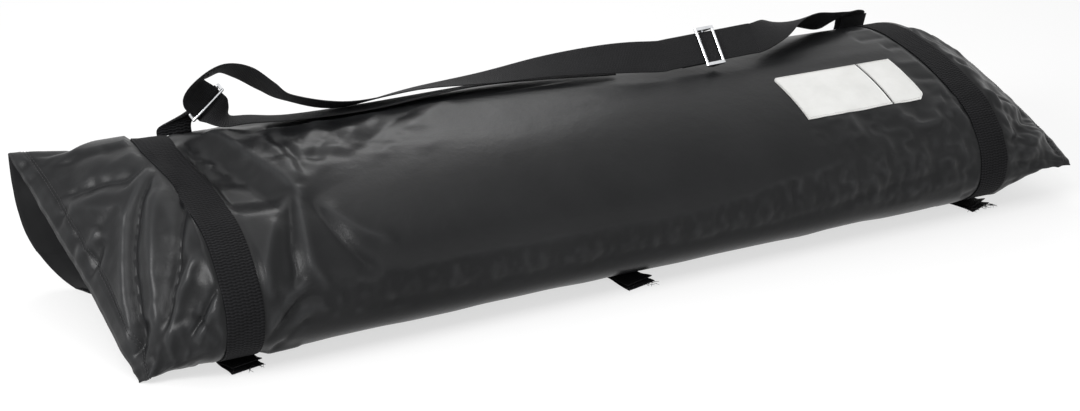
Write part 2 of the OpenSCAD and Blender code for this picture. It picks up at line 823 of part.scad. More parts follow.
module net_ties() {
  color(web_colour)
    for (x = [-tie_x, tie_x])
      difference() {
        net_slice(x, tie_w, soft_gap + tie_t);
        net_slice(x, tie_w + 2, soft_gap);
      }
}

// ---------------------------------------------------------------- ground stakes
stake_pitch = stake_d + 0.2;
stake_z = wall_t + soft_gap + tie_t + tie_gap + stake_d / 2;
stake_first_y = -25;
hook_r = 7;
stake_x = -100;

// Straight shank with a point at one end and a hook that stands up at the other
module stake(y) {
  translate([stake_x, y, stake_z]) {
    rotate([0, 90, 0])
      cylinder(d = stake_d, h = stake_l, $fn = 32);
    translate([stake_l, 0, 0])
      rotate([0, 90, 0])
        cylinder(d1 = stake_d, d2 = 1, h = 12, $fn = 32);
    translate([0, 0, hook_r])
      rotate([90, 0, 0])
        rotate([0, 0, 90])
          rotate_extrude(angle = 180, $fn = 48)
            translate([hook_r, 0])
              circle(d = stake_d, $fn = 24);
  }
}

module ground_stakes() {
  color(steel_colour)
    for (i = [0 : 3])
      stake(stake_first_y + i * stake_pitch);
}

module stake_tie() {
  color(web_colour)
    band(stake_x + stake_l / 2, [[stake_first_y, stake_z],
      [stake_first_y + 3 * stake_pitch, stake_z]], stake_d / 2, tie_gap);
}

bag_shell();
left_wrap();
right_wrap();
left_wrap_tail();
right_wrap_tail();
bottom_tab();
label_panel();
strap_tab_left();
strap_tab_right();
ring_left();
ring_right();
shoulder_strap();
strap_end_loop();
strap_slide();
rear_rail_left();
rear_rail_right();
side_arm_left();
side_arm_right();
centre_hinge_fork();
centre_hinge_tongue();
corner_hinge_forks();
corner_hinge_tongues();
hinge_pins();
arm_end_plugs();
pole_sockets();
frame_ties();
bow_pole_sections();
pole_ferrules();
pole_end_caps();
pole_shock_cord();
pole_ties();
net_bundle();
net_ties();
ground_stakes();
stake_tie();
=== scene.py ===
"""Looks of a coated-nylon carry bag with a packed portable goal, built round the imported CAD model.

Lengths are in millimetres until a mesh is made. +X runs along the bag to its sewn end, +Y to its
back, +Z up. On the bag's cloth, a place is (a, s): a runs along the bag, s runs round it from the
front edge, up over the top to the back edge, and is negative under the bag.
"""
import math

import bpy
import numpy as np
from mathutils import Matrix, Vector


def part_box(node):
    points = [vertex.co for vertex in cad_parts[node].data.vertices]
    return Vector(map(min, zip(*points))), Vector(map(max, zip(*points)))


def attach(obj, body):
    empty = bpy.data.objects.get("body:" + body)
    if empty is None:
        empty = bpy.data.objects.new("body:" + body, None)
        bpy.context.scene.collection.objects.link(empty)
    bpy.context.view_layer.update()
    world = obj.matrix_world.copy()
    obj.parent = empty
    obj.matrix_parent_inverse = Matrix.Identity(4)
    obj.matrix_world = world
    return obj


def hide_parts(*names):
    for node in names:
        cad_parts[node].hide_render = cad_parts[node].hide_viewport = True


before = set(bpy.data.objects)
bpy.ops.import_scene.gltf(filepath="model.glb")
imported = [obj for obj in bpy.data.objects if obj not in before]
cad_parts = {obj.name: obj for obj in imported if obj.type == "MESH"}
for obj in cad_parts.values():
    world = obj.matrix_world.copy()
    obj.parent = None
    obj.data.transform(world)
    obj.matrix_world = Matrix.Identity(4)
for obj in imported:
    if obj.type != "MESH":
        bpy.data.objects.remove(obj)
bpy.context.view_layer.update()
MM = 0.001
rng = np.random.default_rng(20)
scene = bpy.context.scene

# ---- camera
CAMERA_AT = (-926.95, -1667.19, 804.75)
CAMERA_TILT, CAMERA_TURN = 68.455, -27.842
camera_data = bpy.data.cameras.new("camera")
camera_data.sensor_width = 36
camera_data.lens = 60.63
camera = bpy.data.objects.new("camera", camera_data)
scene.collection.objects.link(camera)
camera.location = Vector(CAMERA_AT) * MM
camera.rotation_euler = (math.radians(CAMERA_TILT), 0, math.radians(CAMERA_TURN))
scene.camera = camera


# ---- curves and noise
def unit(v):
    v = np.asarray(v, float)
    return v / np.maximum(np.linalg.norm(v, axis=-1, keepdims=True), 1e-9)


def smoothstep(x, low, high):
    t = np.clip((x - low) / (high - low), 0, 1)
    return t * t * (3 - 2 * t)


def between(x, rise_from, rise_to, fall_from, fall_to):
    """1 from the rise to the fall, and 0 outside them."""
    return smoothstep(x, rise_from, rise_to) * (1 - smoothstep(x, fall_from, fall_to))


def catmull(points, steps):
    """Points of a Catmull-Rom curve through the given rows, steps to each span."""
    p = np.asarray(points, float)
    q = np.vstack([p[:1], p, p[-1:]])
    u = (np.arange(steps) / steps)[:, None]
    spans = [
        0.5 * (2 * b + (c - a) * u + (2 * a - 5 * b + 4 * c - d) * u ** 2
               + (3 * b - a - 3 * c + d) * u ** 3)
        for a, b, c, d in zip(q[:-3], q[1:-2], q[2:-1], q[3:])]
    return np.vstack(spans + [p[-1:]])


def walk_along(points):
    """How far along a path each of its points is."""
    return np.concatenate([[0], np.cumsum(np.linalg.norm(np.diff(points, axis=0), axis=1))])


def at_walk(places, walk, values):
    """Values of a path at places along it."""
    return np.stack([np.interp(places, walk, column) for column in values.T], 1)


def closed(points):
    return np.vstack([points, points[:1]])


LATTICE_ROWS, LATTICE_COLUMNS = 97, 89
LATTICE_START_A, LATTICE_START_S = 900.37, 700.71
CRUMPLE_LEVEL, CRUMPLE_ROUNDING = 0.4, 0.008


def lattice_noise(a, s, long, wide, seed):
    """Smooth noise from -1 to 1 on the cloth, with humps of about the given sizes."""
    table = np.random.default_rng(seed).uniform(-1, 1, (LATTICE_ROWS, LATTICE_COLUMNS))
    x, y = a / long + LATTICE_START_A, s / wide + LATTICE_START_S
    i, j = np.floor(x).astype(int), np.floor(y).astype(int)
    fx, fy = x - i, y - j
    fx, fy = fx * fx * (3 - 2 * fx), fy * fy * (3 - 2 * fy)

    def at(m, n):
        return table[m % LATTICE_ROWS, n % LATTICE_COLUMNS]

    return ((at(i, j) * (1 - fx) + at(i + 1, j) * fx) * (1 - fy)
            + (at(i, j + 1) * (1 - fx) + at(i + 1, j + 1) * fx) * fy)


def crumple(a, s, long, wide, seed):
    """Creased noise: smooth facets that meet in narrow ridges."""
    noise = lattice_noise(a, s, long, wide, seed)
    return CRUMPLE_LEVEL - np.sqrt(noise ** 2 + CRUMPLE_ROUNDING)


# ---- meshes
def make_mesh(name, verts, faces, material, body, uv, replaces=None):
    """A mesh object from points in millimetres, riding on a body. uv holds a place for each."""
    data = bpy.data.meshes.new(name)
    data.from_pydata((np.asarray(verts) * MM).tolist(), [], [list(map(int, f)) for f in faces])
    data.validate()
    layer = data.uv_layers.new(name="cloth")
    index = np.zeros(len(data.loops), int)
    data.loops.foreach_get("vertex_index", index)
    layer.data.foreach_set("uv", (np.asarray(uv)[index] * MM).astype(np.float32).ravel())
    data.polygons.foreach_set("use_smooth", [True] * len(data.polygons))
    data.materials.append(material)
    obj = bpy.data.objects.new(name, data)
    scene.collection.objects.link(obj)
    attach(obj, body)
    if replaces:
        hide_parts(replaces)
    return obj


def grid_faces(rows, columns, close_columns=False, flip=False, start=0):
    """Quads of a grid of points, row after row."""
    i = np.arange(rows - 1)[:, None]
    j = np.arange(columns if close_columns else columns - 1)[None, :]
    k = (j + 1) % columns
    corners = (i * columns + j, (i + 1) * columns + j, (i + 1) * columns + k, i * columns + k)
    quads = np.stack(np.broadcast_arrays(*corners), -1).reshape(-1, 4)
    return (quads[:, ::-1] if flip else quads) + start


def end_faces(rows, columns):
    """The first and the last ring of a closed grid."""
    return [list(range(columns)), list(range((rows - 1) * columns, rows * columns))[::-1]]


class Parts:
    """Collects pieces of one mesh, and keeps them over the floor."""
    LOWEST = 0.02

    def __init__(self):
        self.verts, self.faces, self.uv, self.count = [], [], [], 0

    def add(self, verts, faces, uv):
        verts = np.array(verts, float).reshape(-1, 3)
        verts[:, 2] = np.maximum(verts[:, 2], self.LOWEST)
        self.verts.append(verts)
        self.faces += [[int(k) + self.count for k in f] for f in faces]
        self.uv.append(np.asarray(uv, float).reshape(-1, 2))
        self.count += len(verts)

    def make(self, name, material, body, slot, replaces=None):
        return make_mesh(name, np.vstack(self.verts), self.faces, material, body,
                         np.vstack(self.uv), replaces)


def tube(parts, path, radius, sides=5):
    """A round thread along a path. radius is one number, or one for each point."""
    path = np.asarray(path, float)
    n = len(path)
    radius = np.broadcast_to(radius, (n,))
    along = unit(np.gradient(path, axis=0))
    up = [0, 0, 1.0] if abs(along[0][2]) < 0.9 else [1.0, 0, 0]
    angles = 2 * np.pi * np.arange(sides)[:, None] / sides
    rings, normal = [], unit(np.cross(along[0], up))
    for k in range(n):
        normal = unit(normal - along[k] * (normal @ along[k]))
        other = np.cross(along[k], normal)
        rings.append(path[k] + radius[k] * (np.cos(angles) * normal + np.sin(angles) * other))
    uv = np.stack(np.broadcast_arrays(angles.T * radius[:, None], walk_along(path)[:, None]), -1)
    parts.add(np.vstack(rings), grid_faces(n, sides, True).tolist() + end_faces(n, sides), uv)


# Outline of flat webbing: places across its half width and its half thickness, with round edges
WEB_PROFILE = np.array([
    (-1, 0), (-0.985, 0.62), (-0.93, 1), (-0.55, 0.96), (0, 0.93), (0.55, 0.96), (0.93, 1),
    (0.985, 0.62), (1, 0), (0.985, -0.62), (0.93, -1), (0.55, -0.96), (0, -0.93), (-0.55, -0.96),
    (-0.93, -1), (-0.985, -0.62)])
WEB_SIDES = len(WEB_PROFILE)


def web_outlines(middles, side, face, width, thick):
    across, out = WEB_PROFILE[:, :1], WEB_PROFILE[:, 1:]
    return middles[:, None] + side[:, None] * across * width / 2 + face[:, None] * out * thick / 2


def web_uv(width, walk):
    return np.stack(np.broadcast_arrays((WEB_PROFILE[:, 0] + 1) * width / 2, walk[:, None]), -1)


def webbing(parts, middles, sides, width, thick, sheared=False, faces_way=None):
    """Flat webbing through the given middles. sides is the way that its edge lies, at each of
    them or at all, and is made square to the path unless sheared."""
    middles = np.asarray(middles, float)
    ways = np.broadcast_to(np.asarray(sides, float), middles.shape)
    along = unit(np.gradient(middles, axis=0))
    side = unit(ways if sheared else ways - along * (ways * along).sum(1)[:, None])
    face = unit(np.cross(along, side)) if faces_way is None else unit(faces_way)
    n = len(middles)
    parts.add(web_outlines(middles, side, face, width, thick),
              grid_faces(n, WEB_SIDES, True).tolist() + end_faces(n, WEB_SIDES),
              web_uv(width, walk_along(middles)))


def closed_band(parts, verts, width, walk, flip=False):
    """Webbing that runs round and meets itself, from its outlines."""
    n = len(verts)
    faces = grid_faces(n + 1, WEB_SIDES, True, flip) % (n * WEB_SIDES)
    parts.add(verts, faces, web_uv(width, walk))


def stitch_line(parts, points, normals, step=4.2, length=3.0, radius=0.33):
    """Thread stitches along a path on a surface, each dipping in at both ends."""
    points = np.asarray(points, float)
    normals = np.broadcast_to(unit(normals), points.shape)
    walk = walk_along(points)
    lift = np.array([-0.35, 0.12, 0.25, 0.12, -0.35])[:, None]
    for start in np.arange(step / 3, walk[-1] - length, step):
        places = start + length * np.array([0, 0.2, 0.5, 0.8, 1])
        path = at_walk(places, walk, points) + at_walk(places, walk, normals) * lift
        tube(parts, path, radius)


# ---- materials
class Shade:
    """Adds shader nodes to a material or the world. A value is a number, a colour, or an output
    of another node."""

    def __init__(self, owner):
        owner.use_nodes = True
        self.owner, self.tree = owner, owner.node_tree

    def put(self, node, values):
        for key, value in values.items():
            if isinstance(value, bpy.types.NodeSocket):
                self.tree.links.new(value, node.inputs[key])
            else:
                node.inputs[key].default_value = value
        return node

    def add(self, kind, values=None, **settings):
        node = self.tree.nodes.new("ShaderNode" + kind)
        for key, value in settings.items():
            setattr(node, key, value)
        return self.put(node, values or {})

    def math(self, operation, *values, clamp=False):
        return self.add("Math", dict(enumerate(values)), operation=operation,
                        use_clamp=clamp).outputs[0]

    def sine(self, value, pitch):
        return self.math("SINE", self.math("MULTIPLY", value, 2 * math.pi / pitch))

    def noise(self, vector, scale, detail, roughness, stretch=None):
        if stretch is not None:
            vector = self.add("Mapping", {"Vector": vector, "Scale": stretch}).outputs[0]
        return self.add("TexNoise", {"Vector": vector, "Scale": scale, "Detail": detail,
                                     "Roughness": roughness}).outputs["Fac"]

    def span(self, value, low, high, from_low=0.0, from_high=1.0):
        return self.add("MapRange", {"Value": value, "From Min": from_low, "From Max": from_high,
                                     "To Min": low, "To Max": high}).outputs[0]

    def ramp(self, value, *stops):
        node = self.add("ValToRGB", {0: value})
        for element, (place, colour) in zip(node.color_ramp.elements, stops):
            element.position = place
            element.color = (*colour, 1)
        return node.outputs[0]

    def object_place(self):
        return self.add("TexCoord").outputs["Object"]

    def cloth_place(self):
        """Place on the cloth in metres, whole and as its two numbers."""
        uv = self.add("UVMap", uv_map="cloth").outputs[0]
        split = self.add("SeparateXYZ", {0: uv})
        return uv, split.outputs[0], split.outputs[1]

    def finish(self, colour, rough, bumps, specular=0.5, metallic=0.0):
        """Sets the shader. bumps holds (height, strength, distance in metres)."""
        values = {"Base Color": colour, "Roughness": rough, "Specular IOR Level": specular,
                  "Metallic": metallic}
        for height, strength, distance in bumps:
            bump = {"Height": height, "Strength": strength, "Distance": distance}
            if "Normal" in values:
                bump["Normal"] = values["Normal"]
            values["Normal"] = self.add("Bump", bump).outputs[0]
        self.put(self.tree.nodes["Principled BSDF"], values)
        return self.owner


def new_shade(name):
    return Shade(bpy.data.materials.new(name))


def nylon_material(name, dark, light, rough, specular):
    """Coated nylon: dark satin film over a fine plain weave; crests get a painted highlight."""
    shade = new_shade(name)
    place = shade.object_place()
    _, u, v = shade.cloth_place()
    crest = shade.add("Attribute", attribute_name="crest").outputs["Fac"]
    cloud = shade.noise(place, 11, 3, 0.55)
    grain = shade.noise(place, 420, 2, 0.6)
    ripple = shade.noise(place, 62, 3, 0.6)
    weave = shade.math("MULTIPLY", shade.sine(u, 0.0011), shade.sine(v, 0.0011))
    # The tone paints a highlight on the crests and adds random clouds of tone
    tone = shade.math("ADD", shade.math("MULTIPLY", crest, 0.6),
                      shade.math("MULTIPLY", cloud, 0.45), clamp=True)
    roughness = shade.math("ADD", shade.span(cloud, rough - 0.07, rough + 0.08),
                           shade.span(grain, -0.03, 0.04), clamp=True)
    return shade.finish(shade.ramp(tone, (0.1, dark), (0.9, light)), roughness,
                        [(ripple, 0.35, 0.0011), (grain, 0.25, 0.0002), (weave, 0.10, 0.00005)],
                        specular)


def webbing_material(name, dark, light, rib, column, specular=0.1):
    """Heavy webbing: staggered cross ribs in columns."""
    shade = new_shade(name)
    uv, u, v = shade.cloth_place()
    lane = shade.math("FLOOR", shade.math("DIVIDE", u, column))
    stagger = shade.math("MULTIPLY", shade.math("MODULO", lane, 2.0), rib / 4)
    ribs = shade.sine(shade.math("ADD", v, stagger), rib)
    height = shade.math("ADD", shade.math("MULTIPLY", ribs, 0.5),
                        shade.math("MULTIPLY", shade.sine(u, column), 0.16))
    fuzz = shade.noise(uv, 1500, 2, 0.7)
    wear = shade.noise(uv, 26, 3, 0.6)
    tone = shade.math("ADD", shade.span(height, 0, 0.55, -0.6, 0.6),
                      shade.math("MULTIPLY", wear, 0.5), clamp=True)
    return shade.finish(shade.ramp(tone, (0.15, dark), (0.85, light)),
                        shade.span(wear, 0.62, 0.8),
                        [(height, 0.9, 0.00075), (fuzz, 0.25, 0.00012)], specular)


def metal_material(name, dark, light, rough, scale):
    shade = new_shade(name)
    place = shade.object_place()
    patches = shade.noise(place, scale, 4, 0.6)
    fine = shade.noise(place, 900, 2, 0.5)
    return shade.finish(shade.ramp(patches, (0.3, dark), (0.7, light)),
                        shade.span(patches, rough - 0.05, rough + 0.08),
                        [(fine, 0.12, 0.00008)], metallic=1.0)


def moulded_material(name, dark, light, rough, grain, depth, stretch=None):
    shade = new_shade(name)
    place = shade.object_place()
    tone = shade.noise(place, 45, 3, 0.6, stretch)
    fine = shade.noise(place, grain, 2, 0.5, stretch)
    return shade.finish(shade.ramp(tone, (0.3, dark), (0.75, light)),
                        shade.span(tone, rough - 0.05, rough + 0.07), [(fine, 0.3, depth)], 0.4)


def label_material(name, dark, light):
    """Smooth woven label with a fine satin weave and a faint soiling at random."""
    shade = new_shade(name)
    uv, _, v = shade.cloth_place()
    soil = shade.noise(uv, 30, 4, 0.6)
    return shade.finish(shade.ramp(soil, (0.25, dark), (0.7, light)), shade.span(soil, 0.5, 0.62),
                        [(shade.sine(v, 0.0007), 0.12, 0.00008)], 0.3)


def twine_material(name, dark, light, pitch):
    """Braided cord: slanting strands round it."""
    shade = new_shade(name)
    uv, u, v = shade.cloth_place()
    strands = [shade.sine(shade.math(way, v, u), pitch) for way in ("ADD", "SUBTRACT")]
    braid = shade.math("MAXIMUM", *strands)
    tone = shade.span(braid, 0, 1, -1, 1)
    soil = shade.noise(uv, 60, 3, 0.6)
    return shade.finish(shade.ramp(tone, (0.2, dark), (0.85, light)), shade.span(soil, 0.6, 0.8),
                        [(braid, 0.5, 0.0003)])


def grey(value):
    return (value, value, value)


nylon = nylon_material("coated_nylon", (0.006, 0.0062, 0.0067), (0.020, 0.0205, 0.0215),
                       0.33, 0.16)
lining = nylon_material("nylon_lining", (0.006, 0.0062, 0.0067), (0.014, 0.0143, 0.015),
                        0.60, 0.15)
web = webbing_material("webbing", (0.0012, 0.0012, 0.0014), (0.014, 0.014, 0.0152), 0.0032, 0.0042,
                       0.08)
strap_web = webbing_material("strap_webbing", (0.003, 0.003, 0.0034), (0.020, 0.020, 0.0215),
                             0.0018, 0.0024, 0.16)
tie_cloth = webbing_material("hook_and_loop", grey(0.006), grey(0.022), 0.0015, 0.0015)
thread_black = twine_material("sewing_thread", (0.006, 0.006, 0.007), (0.03, 0.03, 0.032), 0.0006)
elastic = twine_material("elastic_cord", (0.16, 0.012, 0.012), (0.34, 0.04, 0.035), 0.0016)
twine = twine_material("net_twine", (0.42, 0.42, 0.40), (0.80, 0.80, 0.78), 0.0016)
label_cloth = label_material("label_cloth", (0.61, 0.61, 0.594), (0.70, 0.70, 0.686))
steel = metal_material("steel_wire", (0.52, 0.53, 0.55), (0.80, 0.81, 0.83), 0.20, 90)
zinc = metal_material("zinc_steel", (0.33, 0.34, 0.36), (0.62, 0.63, 0.64), 0.38, 160)
paint = moulded_material("painted_tube", (0.012, 0.012, 0.013), (0.022, 0.022, 0.024), 0.42, 420,
                         0.0003)
plastic = moulded_material("black_plastic", grey(0.012), (0.02, 0.02, 0.021), 0.45, 900, 0.0001)
fibre = moulded_material("fibreglass", (0.018, 0.018, 0.02), (0.04, 0.04, 0.043), 0.3, 500, 0.00008,
                         (0.05, 1, 1))
net_shade = moulded_material("net_folds", (0.30, 0.30, 0.29), (0.46, 0.46, 0.44), 0.8, 250, 0.0008)

# ---- bag surface
# Each section of the bag holds: x of its front and its back edge, y of its middle, half its width,
# height of its front and its back edge, rise of its crown, the powers of its superellipse on top,
# at the lower front and at the lower back, the share by which it sinks, and its underside's bow
(X_FRONT, X_BACK, MIDDLE_Y, HALF_W, Z_FRONT, Z_BACK, CROWN, POWER_TOP, POWER_FRONT, POWER_BACK,
 SINK, BOW) = range(12)
WRAP_LEFT, WRAP_RIGHT, WEB_W, WEB_T = -460.0, 460.0, 38.0, 1.4
A_MOUTH, A_BODY_FROM = WRAP_LEFT - 123, WRAP_LEFT - 4
A_BODY_TO, A_SEWN = WRAP_RIGHT + 42, WRAP_RIGHT + 139
BODY = np.array([0, 0, 0, 147, 58, 121, 80, 2.33, 2.6, 4, 1, 0])
MOUTH_RIM = np.array([WRAP_LEFT - 75, A_MOUTH, 40, 137, 0, 155, 6, 2, 3, 6, 1, 55.0])
SEWN_EDGE = np.array([A_SEWN, WRAP_RIGHT + 107, -28, 119, 45, 150, 14, 2, 2, 2, -0.092, 0.0])
MOUTH_POWER, SEWN_POWER = 0.6, 1.15
UNDERSIDE = 1.06


def body_station(a):
    s = BODY.copy()
    s[X_FRONT] = s[X_BACK] = a
    return s


def blend(start, end, u, power):
    """Section between two others. Its crown grows by a power of u."""
    s = start + (end - start) * u
    s[CROWN] = start[CROWN] + (end[CROWN] - start[CROWN]) * u ** power
    return s


def station(a):
    if a < A_BODY_FROM:
        u = (a - A_MOUTH) / (A_BODY_FROM - A_MOUTH)
        return blend(MOUTH_RIM, body_station(A_BODY_FROM), u, MOUTH_POWER)
    if a > A_BODY_TO:
        u = (a - A_BODY_TO) / (A_SEWN - A_BODY_TO)
        return blend(body_station(A_BODY_TO), SEWN_EDGE, u, SEWN_POWER)
    return body_station(a)


def section(s, phi):
    """Points of a section. phi turns from the back edge over the top to the front edge at pi."""
    n = np.where(phi < np.pi, s[POWER_TOP],
                 np.where(phi < 1.5 * np.pi, s[POWER_FRONT], s[POWER_BACK]))
    reach = (np.abs(np.cos(phi)) ** n + np.abs(np.sin(phi)) ** n) ** (-1 / n)
    across, h = s[HALF_W] * reach * np.cos(phi), reach * np.sin(phi)
    back = (across + s[HALF_W]) / (2 * s[HALF_W])
    edge = s[Z_FRONT] + (s[Z_BACK] - s[Z_FRONT]) * back
    low = np.maximum(0, edge + UNDERSIDE * s[SINK] * edge * h)
    z = np.where(h > 0, edge + s[CROWN] * h, low)
    bow = np.where(h < 0, s[BOW] * (-np.minimum(h, 0)) ** 3, 0)
    x = s[X_FRONT] + (s[X_BACK] - s[X_FRONT]) * back + bow
    return np.stack([x, s[MIDDLE_Y] + across, z], -1)


# Angles of equal steps round the body's section. s = 0 is the front edge, at 180 degrees.
COLUMNS = 372
S_FIRST = -330.0
FINE_STEPS = 4000
fine_phi = np.pi - 2 * np.pi * np.arange(FINE_STEPS + 1) / FINE_STEPS
fine_arc = walk_along(section(BODY, fine_phi % (2 * np.pi)))
GIRTH = fine_arc[-1]
BACK_EDGE = float(np.interp(0, -fine_phi, fine_arc))
column_s = S_FIRST + GIRTH * np.arange(COLUMNS) / COLUMNS
column_phi = np.interp(column_s % GIRTH, fine_arc, fine_phi) % (2 * np.pi)
row_a = np.concatenate([
    np.linspace(A_MOUTH, A_BODY_FROM, 56)[:-1], np.linspace(A_BODY_FROM, A_BODY_TO, 440)[:-1],
    np.linspace(A_BODY_TO, A_SEWN, 46)])
ROWS = len(row_a)
A, S = np.meshgrid(row_a, column_s, indexing="ij")


def surface_normals(grid, outward):
    steps = np.roll(grid, -1, 1) - np.roll(grid, 1, 1)
    normals = unit(np.cross(steps, np.gradient(grid, axis=0)))
    return normals if (normals * outward).sum() > 0 else -normals


base = np.stack([section(station(a), column_phi) for a in row_a])
base_normal = surface_normals(base, base - base.mean(1, keepdims=True))

# How far each point of the cloth moves outward, and the most that it may
shift = np.zeros_like(A)
DEEPEST, HIGHEST = -17, 7
FOLD_REACH = 3.2


def fold(height, wide, places, soft=1.6, power=1.25, ends=0.22):
    """Adds a crest, or a valley where height is negative, along places on the cloth. wide gives
    how far its left and its right flank reach."""
    path = catmull(places, 5)
    reach = FOLD_REACH * max(wide)
    rows, columns = (
        (line > path[:, k].min() - reach) & (line < path[:, k].max() + reach)
        for k, line in enumerate((A[:, 0], S[0])))
    if not rows.any() or not columns.any():
        return
    block = np.ix_(rows, columns)
    a, s = A[block], S[block]
    nearest = np.full(a.shape, 1e9)
    side, walk = np.zeros(a.shape), np.zeros(a.shape)
    starts = walk_along(path)
    for p, q, start, length in zip(path[:-1], path[1:], starts, np.diff(starts)):
        d = (q - p) / max(length, 1e-6)
        t = np.clip((a - p[0]) * d[0] + (s - p[1]) * d[1], 0, length)
        off_a, off_s = a - p[0] - d[0] * t, s - p[1] - d[1] * t
        gap = np.hypot(off_a, off_s)
        closer = gap < nearest
        nearest = np.where(closer, gap, nearest)
        side = np.where(closer, d[0] * off_s - d[1] * off_a, side)
        walk = np.where(closer, start + t, walk)
    share = walk / starts[-1]
    fade = smoothstep(share, 0, ends) * smoothstep(1 - share, 0, ends)
    width = np.where(side > 0, wide[0], wide[1])
    away = np.maximum(np.sqrt(nearest ** 2 + soft ** 2) - soft, 0)
    shift[block] += height * fade * np.exp(-(away / width) ** power)


# Folds of the mouth's front and top
fold(-6.5, (9, 12), [(-452, 252), (-494, 227), (-523, 237), (-550, 247), (-576, 262)])
fold(6.5, (16, 22), [(-450, 235), (-466, 222), (-502, 197), (-538, 216), (-578, 250)])
fold(3.5, (10, 12), [(-462, 292), (-505, 302), (-553, 320), (-582, 350)])
fold(-3.0, (9, 9), [(-462, 276), (-505, 284), (-545, 296), (-580, 318)])
fold(-6.0, (5, 7), [
    (-455, 243), (-479, 208), (-499, 186), (-520, 159), (-535, 133), (-550, 93), (-574, 15)], 1.2)
fold(4.0, (10, 8), [
    (-478, 236), (-497, 208), (-516, 184), (-534, 156), (-549, 126), (-564, 86), (-579, 30)])
fold(4.5, (9, 9), [(-462, 200), (-486, 176), (-506, 140), (-524, 96), (-552, 22)])
fold(-7.5, (7, 7), [(-458, 215), (-464, 168), (-485, 120), (-509, 79), (-538, 26)], 1.2)
fold(5.5, (9, 12), [(-458, 92), (-487, 74), (-518, 48), (-542, 14)])
fold(-3.6, (4, 4), [(-456, 48), (-482, 35), (-508, 18)], 0.8)
fold(-3.0, (4, 5), [(-502, 40), (-479, 12), (-460, -20)], 0.8)
fold(2.6, (6, 7), [(-458, 24), (-480, 22), (-500, 2)], 1.0)
fold(-2.2, (4, 5), [(-560, 238), (-571, 233), (-582, 229)], 0.9)
fold(-2.4, (4, 5), [(-550, 178), (-568, 163), (-582, 160)], 0.9)
fold(2.4, (5, 6), [(-546, 192), (-566, 184), (-580, 196)], 0.9)
fold(-2.6, (5, 6), [(-548, 70), (-562, 52), (-580, 44)], 0.9)
fold(2.2, (5, 7), [(-540, 40), (-560, 10), (-578, -12)], 0.9)
# The dent behind the left wrap, its crest and what fans out from its lower corner
DENT_DEPTH = 15.0
crest_a = np.interp(S, [100, 137, 192, 235, 281, 300], [-345, -350, -368, -382, -396, -400])
dent_low = np.interp(A, [-470, -446, -418, -378, -350], [108, 112, 116, 114, 134])
shift -= DENT_DEPTH * (smoothstep(crest_a - A, -2, 30) * smoothstep(A, -484, -440)
                       * smoothstep(S - dent_low, -4, 40) * (1 - smoothstep(S, 225, 292)))
fold(5.0, (22, 5), [
    (-398, 284), (-382, 235), (-368, 192), (-350, 134), (-345, 120)], 1.0, ends=0.12)
fold(4.5, (8, 9), [(-352, 145), (-362, 92), (-366, 58), (-362, 37), (-350, 12)])
fold(-4.6, (7, 9), [(-345, 128), (-338, 100), (-330, 73), (-316, 46), (-296, 24)])
fold(-5.2, (6, 7), [(-358, 138), (-378, 77), (-384, 41), (-398, 18)], 1.2)
fold(4.5, (9, 11), [(-378, 112), (-396, 88), (-410, 57), (-418, 18)])
fold(3.0, (8, 10), [(-338, 122), (-320, 92), (-300, 70), (-270, 52)])
fold(4.5, (11, 11), [(-362, 256), (-352, 226), (-344, 189), (-346, 140)])
fold(-3.0, (8, 8), [(-346, 250), (-336, 220), (-334, 186), (-340, 150)])
fold(3.6, (11, 13), [(-330, 270), (-332, 236), (-326, 200), (-334, 160)])
fold(3.4, (18, 24), [(-196, 270), (-240, 234), (-276, 204), (-314, 170), (-344, 138)])
fold(-2.6, (12, 12), [(-240, 268), (-272, 240), (-298, 208), (-326, 172)])
fold(2.8, (12, 14), [(-268, 286), (-290, 252), (-306, 222), (-322, 186)])
fold(-2.2, (10, 12), [(-160, 262), (-196, 240), (-232, 214), (-262, 188)])
fold(2.2, (14, 16), [(-120, 268), (-160, 240), (-206, 212)])
fold(-3.6, (4, 5), [(-424, -26), (-398, 3), (-376, 20), (-352, 14)], 0.9)
fold(-3.2, (4, 4), [(-414, -48), (-388, -8), (-368, -5)], 0.9)
fold(3.0, (6, 6), [(-420, -8), (-396, 22), (-372, 34)], 1.0)
fold(2.6, (5, 6), [(-404, -34), (-378, 4), (-350, 2)], 1.0)
# The right end's folds
fold(-7.0, (9, 11), [(584, 122), (556, 84), (529, 48), (500, 12)], 1.2)
fold(5.5, (12, 12), [(500, 112), (520, 90), (545, 96), (575, 116)])
fold(4.0, (8, 8), [(594, 128), (566, 74), (548, 40), (520, 4)], 1.0)
fold(-3.4, (6, 6), [(582, 118), (585, 71), (584, 12)], 1.0)
fold(3.4, (7, 7), [(486, 4), (518, 24), (556, 52), (594, 88)], 1.0)
fold(-2.6, (5, 6), [(502, -2), (548, 14), (597, 18)], 1.0)
fold(-2.6, (7, 8), [(500, 175), (530, 160), (570, 165)])
fold(2.6, (9, 9), [(500, 150), (528, 138), (560, 148), (590, 160)])
fold(-3.0, (8, 8), [(498, 235), (535, 222), (580, 230)])
fold(3.0, (9, 9), [(500, 262), (540, 250), (590, 262)])
fold(-3.2, (8, 8), [(500, 330), (540, 318), (588, 330)])
fold(3.2, (9, 10), [(500, 366), (545, 352), (590, 362)])
# The top is full under the left wrap, and sinks a little behind it
fold(6.0, (46, 52), [(-540, 300), (-500, 286), (-455, 276), (-428, 268)], 4.0, 1.6, 0.3)
fold(2.6, (26, 30), [(-310, 246), (-278, 233), (-236, 226)], 2.0, 1.5, 0.3)


